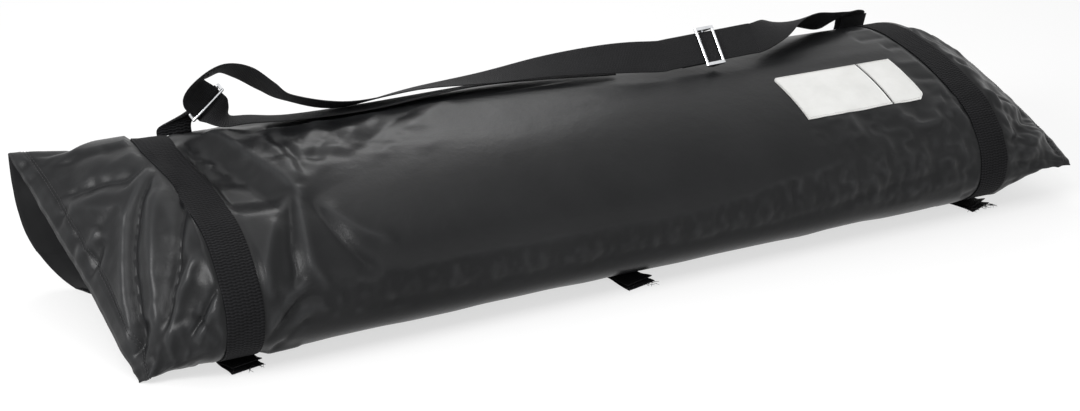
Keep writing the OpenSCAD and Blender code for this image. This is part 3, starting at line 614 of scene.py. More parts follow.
def gathers(a_from, a_to, top, low, spacing, strength):
    """Short crests that spread from a foot near low toward top, each with a valley beside it."""
    a = a_from
    shape = (0.8, 1.2, 0.3)
    while a < a_to:
        s_high, s_low = np.interp(a, *top), np.interp(a, *low)
        size = (s_high - s_low) * rng.uniform(0.55, 1.05)
        foot = s_low + rng.uniform(-0.05, 0.35) * (s_high - s_low)
        long = abs(size)
        lean = rng.uniform(0.25, 0.75) * long
        height = strength * rng.uniform(0.6, 1.15) * (0.5 + long / 60)
        reach = rng.uniform(3.2, 5.5) * (0.6 + long / 70)
        for way in rng.permutation([-1, 1])[:rng.integers(1, 3)]:
            top_a = a + way * lean * rng.uniform(0.5, 1.1)
            bend = rng.uniform(-0.2, 0.2) * size
            fold(height, (reach, reach * 1.2), [
                (a, foot), ((a + top_a) / 2 + bend * 0.3, foot + size * 0.5),
                (top_a, foot + size)], *shape)
        fold(-height * 0.9, (reach, reach), [
            (a, foot - 3), (a + bend * 0.3, foot + size * 0.45),
            (a - bend * 0.2, foot + size * 0.8)], *shape)
        a += spacing * rng.uniform(0.6, 1.4) * (0.65 + long / 90)


# The front's lower band gathers between its edges, and so does the back's lower edge
BAND_TOP = ([-430, -280, 70, 204, 346, 452, 500], [40, 22, 20, 36, 50, 84, 90])
BAND_LOW = ([-430, -282, 200, 338, 452, 500], [-10, -4, -8, 8, 12, 4])
BACK_HIGH = ([-430, 500], [BACK_EDGE + 44, BACK_EDGE + 40])
BACK_LOW = ([-430, 500], [BACK_EDGE + 82, BACK_EDGE + 86])
LINE = (1.4, 1.2, 0.06)
gathers(-300, 60, BAND_TOP, BAND_LOW, 21, 0.6)
gathers(60, 456, BAND_TOP, BAND_LOW, 26, 0.9)
fold(1.3, (12, 5), [(-292, 26), (-180, 27), (70, 24), (204, 40), (346, 54), (452, 84)], *LINE)
fold(-2.2, (5, 7), [
    (-330, 2), (-282, -4), (-100, -6), (60, -7), (200, -7), (338, 8), (450, 14)], *LINE)
gathers(-410, 452, BACK_HIGH, BACK_LOW, 30, 0.7)
# Folds beside both wraps, all round, but not where the front already has its own
for wrap_a, left_shown in ((WRAP_LEFT, True), (WRAP_RIGHT, False)):
    for edge_a, way in ((wrap_a, -1), (wrap_a + WEB_W, 1)):
        for s in np.arange(-300, 450, 34):
            place = s + rng.uniform(-12, 12)
            length = rng.uniform(22, 52)
            slant = rng.uniform(-14, 14)
            height = rng.uniform(1.2, 2.6) * rng.choice([-1, 1])
            if not (left_shown and -30 < s < 300):
                fold(height, (6, 8), [
                    (edge_a + way, place), (edge_a + way * length * 0.5, place + slant * 0.4),
                    (edge_a + way * length, place + slant)])
# Folds of the mouth's back
for s in np.arange(310, 450, 30):
    fold(rng.uniform(2, 4) * rng.choice([-1, 1]), (8, 10), [
        (-462, s), (-500, s + rng.uniform(-12, 12)), (-540, s + rng.uniform(-20, 20)),
        (-580, s + rng.uniform(-20, 20))])

# Waves and crumples: more of them to the left of the top and at the ends, few on the taut middle
top_left = smoothstep(-A, 120, 320) * between(S, 150, 190, 285, 330) * (A > -424)
top_far = between(S, 185, 215, 262, 300) * smoothstep(A, -200, -60)
right_soft = smoothstep(A, 220, 300) * between(S, -30, 10, 95, 150)
under = 1 - smoothstep(S, -60, -25) + smoothstep(S, BACK_EDGE - 20, BACK_EDGE + 10)
back = smoothstep(S, 300, 330)
band = smoothstep(S, -12, -4) * (1 - smoothstep(S - np.interp(A, *BAND_TOP), -8, 8))
mouth_part = smoothstep(-A, 462, 490)
end_part = smoothstep(A, 500, 530)


def waves(*rows):
    """Sum of noises, each given as its height, zone, kind, size along and across, and seed."""
    return sum(height * zone * kind(A, S, long, wide, seed)
               for height, zone, kind, long, wide, seed in rows)


shift += waves(
    (2.1, top_left, lattice_noise, 34, 24, 1), (1.1, top_left, lattice_noise, 17, 13, 2),
    (0.8, top_far, lattice_noise, 60, 22, 3), (1.2, right_soft, lattice_noise, 30, 24, 4),
    (4.2, right_soft, crumple, 34, 26, 14), (2.0, right_soft, crumple, 16, 15, 15),
    (2.4, top_left, crumple, 46, 34, 16), (1.6, back, lattice_noise, 60, 34, 5),
    (0.9, under, lattice_noise, 40, 30, 6), (2.4, band, crumple, 30, 40, 19),
    (0.7, band, lattice_noise, 9, 30, 7), (0.5, band, lattice_noise, 6, 8, 8),
    (0.5, 1, lattice_noise, 85, 60, 9))
shift *= 1 + 0.3 * mouth_part * (1 - smoothstep(S, 150, 230))
shift += waves(
    (1.0, mouth_part, lattice_noise, 26, 26, 10), (0.6, mouth_part, lattice_noise, 11, 11, 11),
    (3.0, mouth_part, crumple, 44, 38, 17), (3.2, end_part, crumple, 34, 26, 18),
    (1.2, end_part, lattice_noise, 26, 22, 12), (0.5, end_part, lattice_noise, 10, 10, 13))

# The cloth is flat under the label, tight under the wraps, hemmed at the mouth, thin at the sewn
# edge, and stays under the strap where that rests on it
WRAPS = (("left_wrap", WRAP_LEFT, ([150, 215, 262, 300, 340], [0, -9, -15, -12, 0])),
         ("right_wrap", WRAP_RIGHT, ([0, 1], [0, 0])))
HEM_W, HEM_GROOVE_A = 11, A_MOUTH + 14.5
shift *= 1 - 0.9 * between(A, 240, 256, 416, 432) * between(S, 98, 112, 184, 198)
for _, wrap_a, skew in WRAPS:
    start = wrap_a + np.interp(S, *skew)
    near = between(A, start - 9, start + 1, start + WEB_W - 1, start + WEB_W + 9)
    shift = shift * (1 - 0.55 * near) - 1.6 * near
shift += 0.7 * (1 - smoothstep(A, A_MOUTH + HEM_W, A_MOUTH + HEM_W + 3))
shift -= 0.9 * np.exp(-((A - HEM_GROOVE_A) / 1.8) ** 2)
shift *= 1 - 0.75 * smoothstep(A, A_SEWN - 26, A_SEWN - 4)
strap_rest = between(A, -352, -335, 150, 175) * between(S, 252, 262, 322, 334)
under_strap = 0.3 - 0.9 * strap_rest + (1 - strap_rest) * 6
shift = np.where(strap_rest > 0.02, np.minimum(shift, under_strap), shift)
shift = np.clip(shift, DEEPEST, HIGHEST)

skin = base + base_normal * shift[..., None]
skin[..., 2] = np.maximum(skin[..., 2], 0)
skin_normal = surface_normals(skin, base_normal)
# How far the cloth stands above its neighbours; the nylon turns this into a painted highlight on
# crests
around = sum(np.roll(shift, step, axis) for axis in (0, 1) for step in (3, -3))
crest = np.clip((shift - around / 4) / 1.2, 0, 1)


def on_skin(a, s, out=0.0, grid=skin):
    """Point of the cloth at (a, s), between the grid's own points, or over it by out."""
    a, s = np.broadcast_arrays(np.asarray(a, float), np.asarray(s, float))
    i = np.clip(np.interp(a, row_a, np.arange(ROWS)), 0, ROWS - 1.001)
    j = ((s - S_FIRST) % GIRTH) / GIRTH * COLUMNS
    i0, j0 = i.astype(int), j.astype(int) % COLUMNS
    fi, fj = (i - i0)[..., None], (j - np.floor(j))[..., None]
    j1 = (j0 + 1) % COLUMNS
    point = ((grid[i0, j0] * (1 - fi) + grid[i0 + 1, j0] * fi) * (1 - fj)
             + (grid[i0, j1] * (1 - fi) + grid[i0 + 1, j1] * fi) * fj)
    return point + skin_way(a, s) * out if np.any(out) else point


def skin_way(a, s):
    return unit(on_skin(a, s, grid=skin_normal))


def skin_stitches(parts, a, s, out=0.2, *sizes):
    stitch_line(parts, on_skin(a, s, out), skin_way(a, s), *sizes)


# The bag's inner face takes every third row, up to most of the way to the sewn edge
CLOTH_T, INNER_LOWEST, INNER_SHORT = 1.3, 1.1, 18
inner_rows = [0] + list(range(2, ROWS - INNER_SHORT, 3))
inner = (skin - skin_normal * CLOTH_T)[inner_rows]
inner[..., 2] = np.maximum(inner[..., 2], INNER_LOWEST)
inner_start = ROWS * COLUMNS
outer_faces = grid_faces(ROWS, COLUMNS, True)
inner_faces = grid_faces(len(inner_rows), COLUMNS, True, True, inner_start)
j = np.arange(COLUMNS)
k = (j + 1) % COLUMNS
rim_faces = np.stack([j, k, inner_start + k, inner_start + j], 1)


def close_ring(start, flip):
    """Faces that join the upper and lower half of a ring, from its front edge to its back."""
    front = int(round(-S_FIRST / GIRTH * COLUMNS))
    half = COLUMNS // 2
    up = [start + (front + m) % COLUMNS for m in range(half + 1)]
    low = [start + (front - m) % COLUMNS for m in range(half + 1)]
    quads = [[up[m], up[m + 1], low[m + 1], low[m]] for m in range(half)]
    quads = [list(dict.fromkeys(q)) for q in quads]
    return [q[::-1] if flip else q for q in quads if len(q) > 2]


cloth_uv = np.stack([A, S], -1)
shell = make_mesh(
    "bag_cloth", np.concatenate([skin.reshape(-1, 3), inner.reshape(-1, 3)]),
    outer_faces.tolist() + inner_faces.tolist() + rim_faces.tolist()
    + close_ring((ROWS - 1) * COLUMNS, True)
    + close_ring(inner_start + (len(inner_rows) - 1) * COLUMNS, False),
    nylon, "bag",
    np.concatenate([cloth_uv.reshape(-1, 2), cloth_uv[inner_rows].reshape(-1, 2)]), "bag_shell")
# The crest attribute carries the painted highlight of the outer crests; the inner face gets none
crest_highlight_values = np.concatenate([crest.ravel(), np.zeros(inner.size // 3)]).astype(np.float32)
shell.data.attributes.new("crest", "FLOAT", "POINT").data.foreach_set("value", crest_highlight_values)
shell.data.materials.append(lining)
material_index = np.zeros(len(shell.data.polygons), int)
material_index[len(outer_faces):len(outer_faces) + len(inner_faces)] = 1
shell.data.polygons.foreach_set("material_index", material_index)

# Seams: two rows at the mouth's hem and two at the sewn edge
seams = Parts()
for a in (A_MOUTH + 13.2, A_MOUTH + 16.0):
    skin_stitches(seams, a, np.linspace(S_FIRST, S_FIRST + GIRTH, 520))
for a in (A_SEWN - 6, A_SEWN - 10):
    skin_stitches(seams, a, np.linspace(12, BACK_EDGE - 8, 240))
    skin_stitches(seams, a, np.linspace(-14, -(GIRTH - BACK_EDGE) + 10, 240))
seams.make("seam_stitches", thread_black, "bag", "coated_nylon")

# ---- wraps
WRAP_POINTS, WRAP_LIFT, WRAP_HALF_T = 420, 0.85, 0.62
for node, wrap_a, skew in WRAPS:
    s = S_FIRST + GIRTH * np.arange(WRAP_POINTS) / WRAP_POINTS
    wobble = 0.8 * np.sin(s / 31.0) + 0.5 * np.sin(s / 13.7 + 1)
    middle_a = wrap_a + WEB_W / 2 + np.interp(s, *skew) + wobble
    verts = np.stack([
        on_skin(middle_a + across * WEB_W / 2, s, WRAP_LIFT + out * WRAP_HALF_T)
        for across, out in WEB_PROFILE], 1)
    parts = Parts()
    closed_band(parts, verts, WEB_W, s - S_FIRST, True)
    parts.make(node + "_webbing", web, "bag", "webbing", node)


def floor_tail(name, node, x0, front_y, skew, frays, seed):
    """Cut end of webbing on the floor: two layers that come out from under the bag's front edge."""
    random = np.random.default_rng(seed)
    parts, threads = Parts(), Parts()
    back_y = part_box(node)[1][1] / MM - 0.4
    for layer, (end_y, z, lean) in enumerate(((front_y, 0.72, 0.0), (front_y + 6.5, 2.16, 0.4))):
        y = np.linspace(back_y, end_y, 26)
        share = (back_y - y) / (back_y - end_y)
        x = x0 + WEB_W / 2 + skew * share ** 2 + layer * 1.5 * share
        lift = layer * (1.5 * share ** 3) + (0.25 * np.sin(share * 9 + layer) + 0.25) * share
        ways = np.stack([np.ones_like(x), 0.03 * share, 0.05 * np.sin(share * 5 + seed)], 1)
        webbing(parts, np.stack([x, y, z + lift + lean * share], 1), ways, WEB_W - 1, WEB_T - 0.1)
    parts.make(name, web, "bag", "webbing", node)
    steps = np.linspace(0, 1, 6)[:, None]
    for _ in range(frays):
        x = x0 + WEB_W / 2 + skew + random.uniform(-0.49, 0.49) * WEB_W
        start = np.array([x, front_y + random.uniform(0, 5), random.uniform(0.6, 2.6)])
        length = random.uniform(4, 13)
        way = unit([random.uniform(-0.6, 0.9), -1, random.uniform(-0.1, 0.25)])
        curl = np.array([random.uniform(-0.5, 0.5), 0, random.uniform(-0.2, 0.1)])
        path = start + steps * length * way + steps ** 2 * length * curl
        path[:, 1:] = np.maximum(path[:, 1:], [front_y - 9, 0.35])
        tube(threads, path, np.linspace(0.34, 0.16, 6))
    threads.make(name + "_threads", thread_black, "bag", "webbing")


floor_tail("left_tail_webbing", "left_wrap_tail", -456, -119.5, 4, 10, 1)
floor_tail("right_tail_webbing", "right_wrap_tail", 464, -119.5, 6, 34, 2)
floor_tail("bottom_tab_webbing", "bottom_tab", -12, -127.5, 4, 10, 3)

# ---- label: two fields with a groove between them, two corners cut, and a seam round both
LABEL_LEFT, LABEL_RIGHT, LABEL_HIGH, LABEL_LOW, GROOVE = 251.0, 419.0, 187.5, 107.0, (369.7, 372.3)
LABEL_ROWS, LABEL_SEAM_IN = 26, 2.4
LABEL_BACK, LABEL_EDGE, LABEL_FACE = 0.25, 0.75, 1.05


def label_field(parts, a_from, a_to, columns, corner_a, cuts):
    """A field of the label. cuts holds the s of a corner on its outer side, and how much is off."""
    rows = LABEL_ROWS
    u, v = np.meshgrid(np.linspace(0, 1, columns), np.linspace(0, 1, rows), indexing="ij")
    a = a_from + (a_to - a_from) * u
    s = LABEL_HIGH + (LABEL_LOW - LABEL_HIGH) * v
    for corner_s, cut in cuts:
        inward = np.clip(cut - np.abs(s - corner_s), 0, None)
        away = np.abs(a - corner_a) / (a_to - a_from)
        a = a + (1 if corner_a == a_from else -1) * inward * (1 - away)
    out = np.full(u.shape, LABEL_EDGE)
    out[1:-1, 1:-1] = LABEL_FACE
    count = columns * rows
    ids = np.arange(count).reshape(columns, rows)
    border = np.concatenate([ids[:-1, 0], ids[-1, :-1], ids[:0:-1, -1], ids[0, :0:-1]])
    faces = (grid_faces(columns, rows).tolist()
             + grid_faces(columns, rows, flip=True, start=count).tolist()
             + [[p, q, q + count, p + count] for p, q in zip(border, np.roll(border, -1))])
    parts.add(np.concatenate([on_skin(a, s, out[..., None]).reshape(-1, 3),
                              on_skin(a, s, LABEL_BACK).reshape(-1, 3)]), faces,
              np.concatenate([np.stack([a, s], -1).reshape(-1, 2)] * 2))


label, label_seam = Parts(), Parts()
label_field(label, LABEL_LEFT, GROOVE[0], 44, LABEL_LEFT, [(LABEL_HIGH, 5)])
label_field(label, GROOVE[1], LABEL_RIGHT, 22, LABEL_RIGHT, [(LABEL_LOW, 8)])
seam_left, seam_right = LABEL_LEFT + LABEL_SEAM_IN, LABEL_RIGHT - LABEL_SEAM_IN
seam_high, seam_low = LABEL_HIGH - LABEL_SEAM_IN, LABEL_LOW + LABEL_SEAM_IN
seam_corners = np.array([
    (LABEL_LEFT + 7, seam_high), (seam_right, seam_high), (seam_right, LABEL_LOW + 8),
    (LABEL_RIGHT - 8, seam_low), (seam_left, seam_low), (seam_left, LABEL_HIGH - 7)])
for p, q in zip(seam_corners, np.roll(seam_corners, -1, 0)):
    a, s = (p + (q - p) * np.linspace(0, 1, 60)[:, None]).T
    skin_stitches(label_seam, a, s, 1.1, 3.4, 2.4, 0.22)
label.make("label_cloth_panel", label_cloth, "bag", "label", "label_panel")
label_seam.make("label_stitches", twine, "bag", "label")

# ---- shoulder strap
RING_LEFT, RING_RIGHT = np.array([-388, 111, 204.0]), np.array([479, 154, 138.0])
LEFT_BAR, LEFT_BACK = unit([0.726, -0.08, 0.68]), unit([0.06, 0.99, 0.05])
RIGHT_BAR, RIGHT_BACK = np.array([1.0, 0, 0]), unit([0, 0.35, -0.94])
RING_PITCH, EYE_R, WIRE_R = 15.5, 3.2, 1.75
# The strap's turn round each ring's bar: how far each point lies from the bar on the strap's
# side, and across the bar as a share of half the turn's height
RIGHT_BIGHT = [(14, -1), (6, -1), (-0.5, -0.85), (-2.6, -0.42), (-2.6, 0.42), (-0.5, 0.85), (6, 1),
               (14, 1.1)]
LEFT_BIGHT = [(-3, 0.9), (-3.1, 0.3), (-3, -0.4), (-1.3, -1.05)]
SLIDE_FROM, SLIDE_TO = np.array([148, 40, 198.5]), np.array([246, 42, 201.0])
SLIDE_FRONT = [0.44, -0.55, -0.71]


def bight(steps, ring, bar, back, half, way):
    across = np.cross(bar, back)
    bar_at = ring - back * RING_PITCH
    return [[*(bar_at - back * b + across * c * half), *way] for b, c in steps]


# Each row is a point of the strap's middle and the way that its edge lies
strap_rows = [
    [479, 135, 178, 1, 0, 0],
    *bight(RIGHT_BIGHT, RING_RIGHT, RIGHT_BAR, RIGHT_BACK, 5, RIGHT_BAR),
    [475, 139, 177.5, 0.96, -0.25, 0.05], [459, 128, 184, 0.75, -0.55, 0.3],
    [434, 114, 184, 0.45, -0.65, 0.6], [406, 101, 188, 0.2, -0.65, 0.7],
    [370, 90, 197, 0.1, -0.75, 0.6], [330, 74, 203, 0.15, -0.95, 0.2],
    [296, 54, 204, 0.3, -0.8, -0.5],
    *([*(SLIDE_FROM + (SLIDE_TO - SLIDE_FROM) * u), *SLIDE_FRONT] for u in (1.2, 1, 0, -0.2)),
    [95, 47, 199.5, 0.3, -0.66, -0.69], [55, 61, 198, 0.1, -0.8, -0.6],
    [0, 74, 195, 0, -0.92, -0.35], [-70, 82, 190, 0, -1, -0.05], [-150, 90, 187.5, 0, -0.95, 0.25],
    [-245.2, 74.6, 187.7, 0.27, -0.87, 0.42], [-305.6, 79.7, 203.3, 0.13, -0.94, 0.32],
    [-328.3, 83.5, 218.3, 0.16, -0.88, 0.45], [-352.2, 85.4, 236.3, 0.02, -0.79, 0.61],
    [-376.2, 83.5, 244.6, -0.5, -0.76, 0.42], [-401.7, 86.5, 232.3, -0.76, -0.65, -0.08],
    [-402.3, 98.3, 217.8, -0.75, -0.41, -0.52],
    *bight(LEFT_BIGHT, RING_LEFT, LEFT_BAR, LEFT_BACK, 6.2, -LEFT_BAR),
    [-381.7, 91.6, 195.1, -0.85, -0.43, -0.3], [-372.1, 85, 186.8, -0.61, -0.79, 0.05],
    [-348.3, 81.8, 185.5, -0.32, -0.95, 0.08], [-303.2, 77.3, 181.8, 0.06, -0.99, 0.16],
    [-217.2, 79.2, 179.6, 0.13, -0.98, 0.12], [-100, 86, 181.6, 0, -0.95, 0.3],
    [0, 78, 183, 0, -1, 0.1], [80, 66, 186, 0, -0.93, -0.3]]
strap_line, strap_side = np.hsplit(catmull(strap_rows, 8), 2)
strap_along = unit(np.gradient(strap_line, axis=0))
strap_side = unit(strap_side)
strap_side = unit(strap_side - strap_along * (strap_side * strap_along).sum(1)[:, None])
for _ in range(10):
    padded = np.vstack([strap_side[:1], strap_side, strap_side[-1:]])
    strap_side = unit(padded[:-2] + 2 * padded[1:-1] + padded[2:])
strap = Parts()
webbing(strap, strap_line, strap_side, WEB_W, WEB_T, True)
strap.make("strap_webbing", strap_web, "strap", "webbing", "shoulder_strap")

# The sewn end goes round the slide's middle bar, with its eye cut open on the side of the strap
slide_at = (SLIDE_FROM + SLIDE_TO) / 2
slide_x = unit(SLIDE_TO - SLIDE_FROM)
slide_y = -np.array(SLIDE_FRONT)
slide_y = unit(slide_y - slide_x * (slide_y @ slide_x))
slide_z = np.cross(slide_x, slide_y)
BAR_PLAY, LOOP_R = 0.3, WIRE_R + 0.05 + 0.66
LOOP_W, LOOP_T, LOOP_END = WEB_W - 0.2, 1.25, -41.6


def slide_points(*places):
    return np.array([slide_at + slide_x * x + slide_z * z for x, z in places])


def eye_path(axis_at, way_out, normal, radius, from_angle, to_angle, steps):
    """Points round a bar. The angle starts along way_out and turns toward normal."""
    t = np.radians(np.linspace(from_angle, to_angle, steps))[:, None]
    return axis_at + radius * (np.cos(t) * way_out + np.sin(t) * normal)


end_loop, loop_stitches = Parts(), Parts()
bar_at = slide_at - slide_z * (WEB_T / 2 + BAR_PLAY + WIRE_R)
eye = eye_path(bar_at, slide_x, slide_z, LOOP_R, 68, -158, 16)[:13]
lower = slide_points(*((x, -3.22) for x in (-6, -12, -20, -30, LOOP_END)))
upper = slide_points(*((x, -1.75) for x in (LOOP_END, -30, -18, -9)), (-4.5, -1.8))
for line in (np.vstack([eye, lower]), upper):
    webbing(end_loop, line, -slide_y, LOOP_W, LOOP_T)
end_loop.make("strap_end_loop_webbing", strap_web, "slide", "webbing", "strap_end_loop")
# Its two layers are held by a square of stitches with a cross in it
centre = slide_at - slide_x * 27 - slide_z * 3.95
corners = [centre + slide_x * 12 * p + slide_y * 14 * q
           for p, q in ((-1, -1), (1, -1), (1, 1), (-1, 1))]
for p, q in ((0, 1), (1, 2), (2, 3), (3, 0), (0, 2), (1, 3)):
    path = corners[p] + (corners[q] - corners[p]) * np.linspace(0, 1, 12)[:, None]
    stitch_line(loop_stitches, path, -slide_z, 3.2, 2.3, 0.3)
loop_stitches.make("end_loop_stitches", thread_black, "slide", "webbing")

# Tabs that hold the rings: an eye round the ring's bar, and a leg of two layers down to the wrap
LEFT_FOOT = np.array([-420, 121, 167.8])
RIGHT_TILT = math.radians(-35.2)
TAB_EYE_R, TAB_EYE_T = EYE_R - 0.72, 1.3
left_tab, right_tab = Parts(), Parts()
start = RING_LEFT + LEFT_BACK * (EYE_R - WEB_T / 2)
leg, leg_side = np.hsplit(catmull([
    [*start, *LEFT_BAR], [*(start + [-8, 8, -9]), 0.85, 0, 0.5],
    [*(LEFT_FOOT + [3, 3, 11]), 1, 0, 0.1], [*LEFT_FOOT, 1, 0, 0]], 8), 2)
webbing(left_tab, leg, leg_side, WEB_W, 2 * WEB_T, True)
eye = eye_path(RING_LEFT, LEFT_BACK, np.cross(LEFT_BAR, LEFT_BACK), TAB_EYE_R, -150, 150, 20)
webbing(left_tab, eye, LEFT_BAR, WEB_W, TAB_EYE_T)
left_tab.make("left_ring_tab_webbing", web, "strap", "webbing", "strap_tab_left")
right_up = np.cross(RIGHT_BAR, RIGHT_BACK)
leg_way = math.cos(RIGHT_TILT) * RIGHT_BACK + math.sin(RIGHT_TILT) * right_up
leg_normal = -math.sin(RIGHT_TILT) * RIGHT_BACK + math.cos(RIGHT_TILT) * right_up
leg = [RING_RIGHT + leg_way * x for x in np.linspace(3.0, 19.6, 7)]
webbing(right_tab, leg, RIGHT_BAR, WEB_W, 2 * WEB_T - 0.1)
eye = eye_path(RING_RIGHT, leg_way, leg_normal, TAB_EYE_R, 28, 332, 22)
webbing(right_tab, eye, RIGHT_BAR, WEB_W, TAB_EYE_T)
right_tab.make("right_ring_tab_webbing", web, "strap", "webbing", "strap_tab_right")

# ---- ties inside
TUBE_FIRST_Y, TUBE_LAST_Y, TUBE_Z, TUBE_R = 10.5, 73.5, 13.7, 9.5
ROD_AT = np.array([(29.5, 31), (42, 31), (54.5, 31), (48.25, 41.825), (35.75, 41.825)])
ROD_R = 4.9
STAKE_Y, STAKE_PITCH, STAKE_Z, STAKE_R = -25, 6.2, 7.05, 3.15
TIE_W, TIE_T, TIE_X = 20.0, 1.2, 250.0


def even(points, ways, step=2.0):
    """Points at even steps round an outline, with their ways out."""
    points, ways = closed(points), closed(ways)
    walk = walk_along(points)
    count = int(walk[-1] / step)
    places = walk[-1] * np.arange(count) / count
    return at_walk(places, walk, points), unit(at_walk(places, walk, ways))


def hull_outline(circles, radius, step=2.0):
    """Outline round circles in even steps, with its ways out."""
    angles = 2 * np.pi * np.arange(96) / 96
    ways = np.stack([np.cos(angles), np.sin(angles)], 1)
    circles = np.asarray(circles, float)
    return even(circles[(ways @ circles.T).argmax(1)] + ways * radius, ways, step)


def in_space(x, flat):
    return np.concatenate([np.full((len(flat), 1), x), flat], 1)


def tie_band(parts, x, outline, ways, flap_from, flap_to):
    """Band of hook-and-loop tape, its loose end lying on it between two shares of its round."""
    count = len(outline)
    along_x = np.array([1.0, 0, 0])
    middles = in_space(x, outline + ways * TIE_T / 2)
    verts = web_outlines(middles, np.tile(along_x, (count, 1)), in_space(0, ways), TIE_W, TIE_T)
    closed_band(parts, verts, TIE_W, walk_along(outline))
    picks = np.arange(int(flap_from * count), int(flap_to * count)) % count
    share = np.linspace(0, 1, len(picks))
    lift = TIE_T * 1.45 + 0.9 * smoothstep(share, 0.8, 1)
    lift = np.where(share < 0.12, TIE_T * (0.75 + 0.7 * share / 0.12), lift)
    webbing(parts, in_space(x, outline[picks] + ways[picks] * lift[:, None]), along_x, TIE_W - 0.8,
            0.9, faces_way=in_space(0, ways[picks]))


def tie(name, node, body, xs, outline, ways, *flap):
    parts = Parts()
    for x in xs:
        tie_band(parts, x, outline, ways, *flap)
    parts.make(name, tie_cloth, body, "webbing", node)


tie("frame_tie_bands", "frame_ties", "goal_frame", (-TIE_X, TIE_X),
    *hull_outline([(TUBE_FIRST_Y, TUBE_Z), (TUBE_LAST_Y, TUBE_Z)], TUBE_R + 0.3), 0.43, 0.57)
tie("pole_tie_bands", "pole_ties", "bow_pole", (-TIE_X, TIE_X), *hull_outline(ROD_AT, ROD_R, 1.0),
    0.16, 0.40)
tie("stake_tie_band", "stake_tie", "stakes", (0.0,),
    *hull_outline([(STAKE_Y, STAKE_Z), (STAKE_Y + 3 * STAKE_PITCH, STAKE_Z)], STAKE_R, 0.8),
    0.08, 0.36)

# ---- net
NET_W, NET_L, NET_TOP_Z = 55.0, 840.0, 84.0
NET_COLUMNS, NET_ROWS = 150, 190
WALL_INSET = 2.4 + 0.6 + 1.2


def net_outline():
    """Outline of the folded net: a round top, and a side that follows the bag's wall."""
    front_y, back_y = (corner[1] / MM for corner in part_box("net_bundle"))
    top_y = (front_y + back_y) / 2
    wall = []
    for phi in 2 * math.pi * np.arange(40, 46) / 48:
        reach = (abs(math.cos(phi)) ** 4 + abs(math.sin(phi)) ** 4) ** -0.25
        across = (BODY[HALF_W] - WALL_INSET) * reach * math.cos(phi)
        share = (across + BODY[HALF_W]) / (2 * BODY[HALF_W])
        edge = BODY[Z_FRONT] + (BODY[Z_BACK] - BODY[Z_FRONT]) * share
        z = max(WALL_INSET, edge + (UNDERSIDE * edge - WALL_INSET) * reach * math.sin(phi))
        if across > front_y + 8 and z < NET_TOP_Z:
            wall.append((across, z))
    top = [(top_y + NET_W / 2 * math.cos(t), NET_TOP_Z + NET_W / 2 * math.sin(t))
           for t in np.linspace(0, np.pi, 13)]
    return np.array(wall + top + [(front_y, wall[0][1] + 6)])


def outward(ring):
    """Ways out of a closed flat outline."""
    side = np.roll(ring, -1, 0) - np.roll(ring, 1, 0)
    return unit(np.stack([side[:, 1], -side[:, 0]], 1))


net_corners = net_outline()
walk = walk_along(closed(net_corners))
NET_ROUND = walk[-1]
net_t = NET_ROUND * np.arange(NET_COLUMNS) / NET_COLUMNS
net_ring = at_walk(net_t, walk, closed(net_corners))
for _ in range(3):
    net_ring = (np.roll(net_ring, 1, 0) + 2 * net_ring + np.roll(net_ring, -1, 0)) / 4
net_way = outward(net_ring)
net_x = np.linspace(-NET_L / 2 + 1.5, NET_L / 2 - 1.5, NET_ROWS)
X, T = np.meshgrid(net_x, net_t, indexing="ij")
waist = 3.0 * np.exp(-((np.abs(X) - TIE_X) / 22) ** 2)
pleats = (2.4 * np.abs(np.sin(T / 6.2 + 0.5 * lattice_noise(X, T, 90, 30, 31)))
          + 1.4 * lattice_noise(X, T, 40, 9, 32) + 1.0)
end_share = np.clip((np.abs(X) - NET_L / 2 + 16) / 16, 0, 1)
end_round = 10 * (1 - np.sqrt(1 - end_share ** 2))
NET_LEAST_IN, NET_MOST_IN = 0.9, 18
net_in = np.clip(pleats + waist + end_round, NET_LEAST_IN, NET_MOST_IN)
net_skin = np.concatenate([X[..., None], net_ring[None] - net_way[None] * net_in[..., None]], -1)
core, mesh_cords = Parts(), Parts()
core.add(net_skin, grid_faces(NET_ROWS, NET_COLUMNS, True, True).tolist()
         + end_faces(NET_ROWS, NET_COLUMNS), np.stack([X, T], -1))
core.make("net_folds", net_shade, "net", "net_twine", "net_bundle")
# Cords of the mesh run over the folds both ways. Their pitch is a share of the net's round.
NET_PITCH, NET_SLANT, NET_CORD_R = 0.052, 0.42, 0.75
for way in (-1, 1):
    for first in np.arange(-1.0, 1.0, NET_PITCH):
        if first >= 0 and way < 0:
            continue
        x = np.linspace(-NET_L / 2 + 4, NET_L / 2 - 4, 120)
        t = (first * NET_ROUND + way * x * NET_SLANT
             + 5 * np.sin(x / 17 + first * 9)) % NET_ROUND
        i = np.interp(x, net_x, np.arange(NET_ROWS)).round().astype(int)
        j = (t / NET_ROUND * NET_COLUMNS).astype(int) % NET_COLUMNS
        path = net_skin[i, j] + in_space(0, net_way[j]) * 0.35
        path[:, 0] = x
        tube(mesh_cords, path, NET_CORD_R)
mesh_cords.make("net_mesh", twine, "net", "net_twine")
corner_ways = unit(net_corners - net_corners.mean(0))
band_ring, _ = even(net_corners + corner_ways * 0.3, corner_ways)
tie("net_tie_bands", "net_ties", "net", (-TIE_X, TIE_X), band_ring, outward(band_ring), 0.42, 0.62)

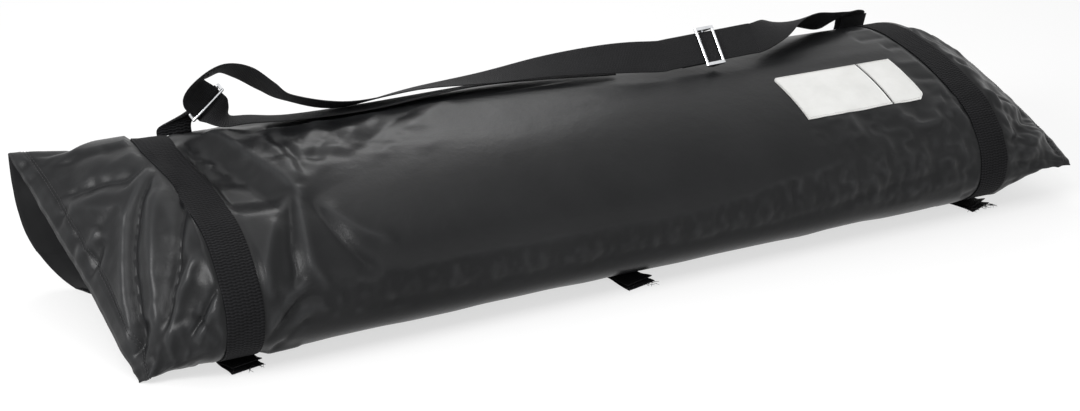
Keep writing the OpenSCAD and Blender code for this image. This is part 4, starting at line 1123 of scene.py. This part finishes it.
# ---- shock cord: straight through each pole section, with a half turn to the next
CORD_TURN_X, CORD_END_X, CORD_R, CORD_STEP = 448.0, 400, 1.5, 40
route = [[-CORD_END_X, *ROD_AT[0]]]
for n in range(4):
    end = 1 if n % 2 == 0 else -1
    middle, half = (ROD_AT[n] + ROD_AT[n + 1]) / 2, (ROD_AT[n + 1] - ROD_AT[n]) / 2
    for t in np.radians(np.linspace(0, 180, 13)):
        turn_x = CORD_TURN_X + np.linalg.norm(half) * math.sin(t)
        route.append([end * turn_x, *(middle - half * math.cos(t))])
route = np.array(route + [[CORD_END_X, *ROD_AT[4]]])
dense = [route[0]]
for p, q in zip(route[:-1], route[1:]):
    count = max(1, int(np.linalg.norm(q - p) / CORD_STEP))
    dense += [p + (q - p) * (m + 1) / count for m in range(count)]
cord = Parts()
tube(cord, dense, CORD_R, 10)
cord.make("shock_cord", elastic, "bow_pole", "elastic_cord", "pole_shock_cord")

# ---- finishes of the CAD nodes that stay
FINISHES = {
    steel: ["ring_left", "ring_right", "strap_slide", "ground_stakes"],
    paint: ["rear_rail_left", "rear_rail_right", "side_arm_left", "side_arm_right"],
    zinc: ["centre_hinge_fork", "centre_hinge_tongue", "corner_hinge_forks",
           "corner_hinge_tongues", "hinge_pins", "pole_sockets", "pole_ferrules"],
    plastic: ["arm_end_plugs", "pole_end_caps"],
    fibre: ["bow_pole_sections"],
}
for material, names in FINISHES.items():
    for name in names:
        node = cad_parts[name]
        for item in node.material_slots:
            item.material = material
        if not node.material_slots:
            node.data.materials.append(material)


# ---- stage and light
ROOM_LIGHT, FLOOR_WHITE, FLOOR_HALF, FLOOR_DROP = 0.45, 0.66, 14.0, 0.0004


def white_to_camera(shade, lit, white, share):
    """Mixes in a share of white for camera, glossy and transmission rays."""
    path = shade.add("LightPath").outputs
    seen = shade.math("MAXIMUM", path["Is Camera Ray"],
                      shade.math("MAXIMUM", path["Is Glossy Ray"], path["Is Transmission Ray"]))
    seen = shade.math("MULTIPLY", seen, share)
    return shade.add("MixShader", {0: seen, 1: lit.outputs[0], 2: white.outputs[0]}).outputs[0]


scene.world = bpy.data.worlds.new("studio")
shade = Shade(scene.world)
room = shade.put(shade.tree.nodes["Background"], {"Color": (1, 1, 1, 1), "Strength": ROOM_LIGHT})
white = shade.add("Background", {"Color": (1, 1, 1, 1), "Strength": 1.0})
shade.put(shade.tree.nodes["World Output"], {0: white_to_camera(shade, room, white, 1.0)})

floor_data = bpy.data.meshes.new("floor")
floor_data.from_pydata(
    [(x * FLOOR_HALF, y * FLOOR_HALF, 0) for x, y in ((-1, -1), (1, -1), (1, 1), (-1, 1))], [],
    [(0, 1, 2, 3)])
floor = bpy.data.objects.new("floor", floor_data)
floor.location.z = -FLOOR_DROP
scene.collection.objects.link(floor)
shade = new_shade("floor_paint")
paint_shader = shade.tree.nodes["Principled BSDF"]
shade.put(paint_shader, {"Base Color": (0.92, 0.92, 0.92, 1), "Roughness": 0.9,
                         "Specular IOR Level": 0.1})
glow = shade.add("Emission", {"Strength": 1.0})
shade.put(shade.tree.nodes["Material Output"],
          {0: white_to_camera(shade, paint_shader, glow, FLOOR_WHITE)})
floor_data.materials.append(shade.owner)

# Lamps, in metres and watts
for name, place, target, (wide, high), power in (
        ("top_light", (-0.2, 0.0, 2.4), (0, 0, 0), (3.0, 1.8), 24),
        ("left_light", (-2.3, -0.5, 1.3), (0, 0, 0.1), (0.8, 0.9), 44),
        ("back_light", (0.6, 1.55, 1.75), (-0.3, 0, 0.15), (0.8, 0.4), 8),
        ("mouth_light", (-1.2, -1.4, 2.0), (-0.5, -0.05, 0.1), (0.5, 0.5), 12),
        ("front_light", (0.6, -2.6, 1.6), (0, 0, 0.1), (2.4, 1.2), 8)):
    data = bpy.data.lights.new(name, "AREA")
    data.shape, data.size, data.size_y, data.energy = "RECTANGLE", wide, high, power
    lamp = bpy.data.objects.new(name, data)
    scene.collection.objects.link(lamp)
    lamp.location = place
    lamp.rotation_euler = (Vector(target) - Vector(place)).to_track_quat("-Z", "Y").to_euler()

bpy.context.scene.view_settings.view_transform = "Standard"
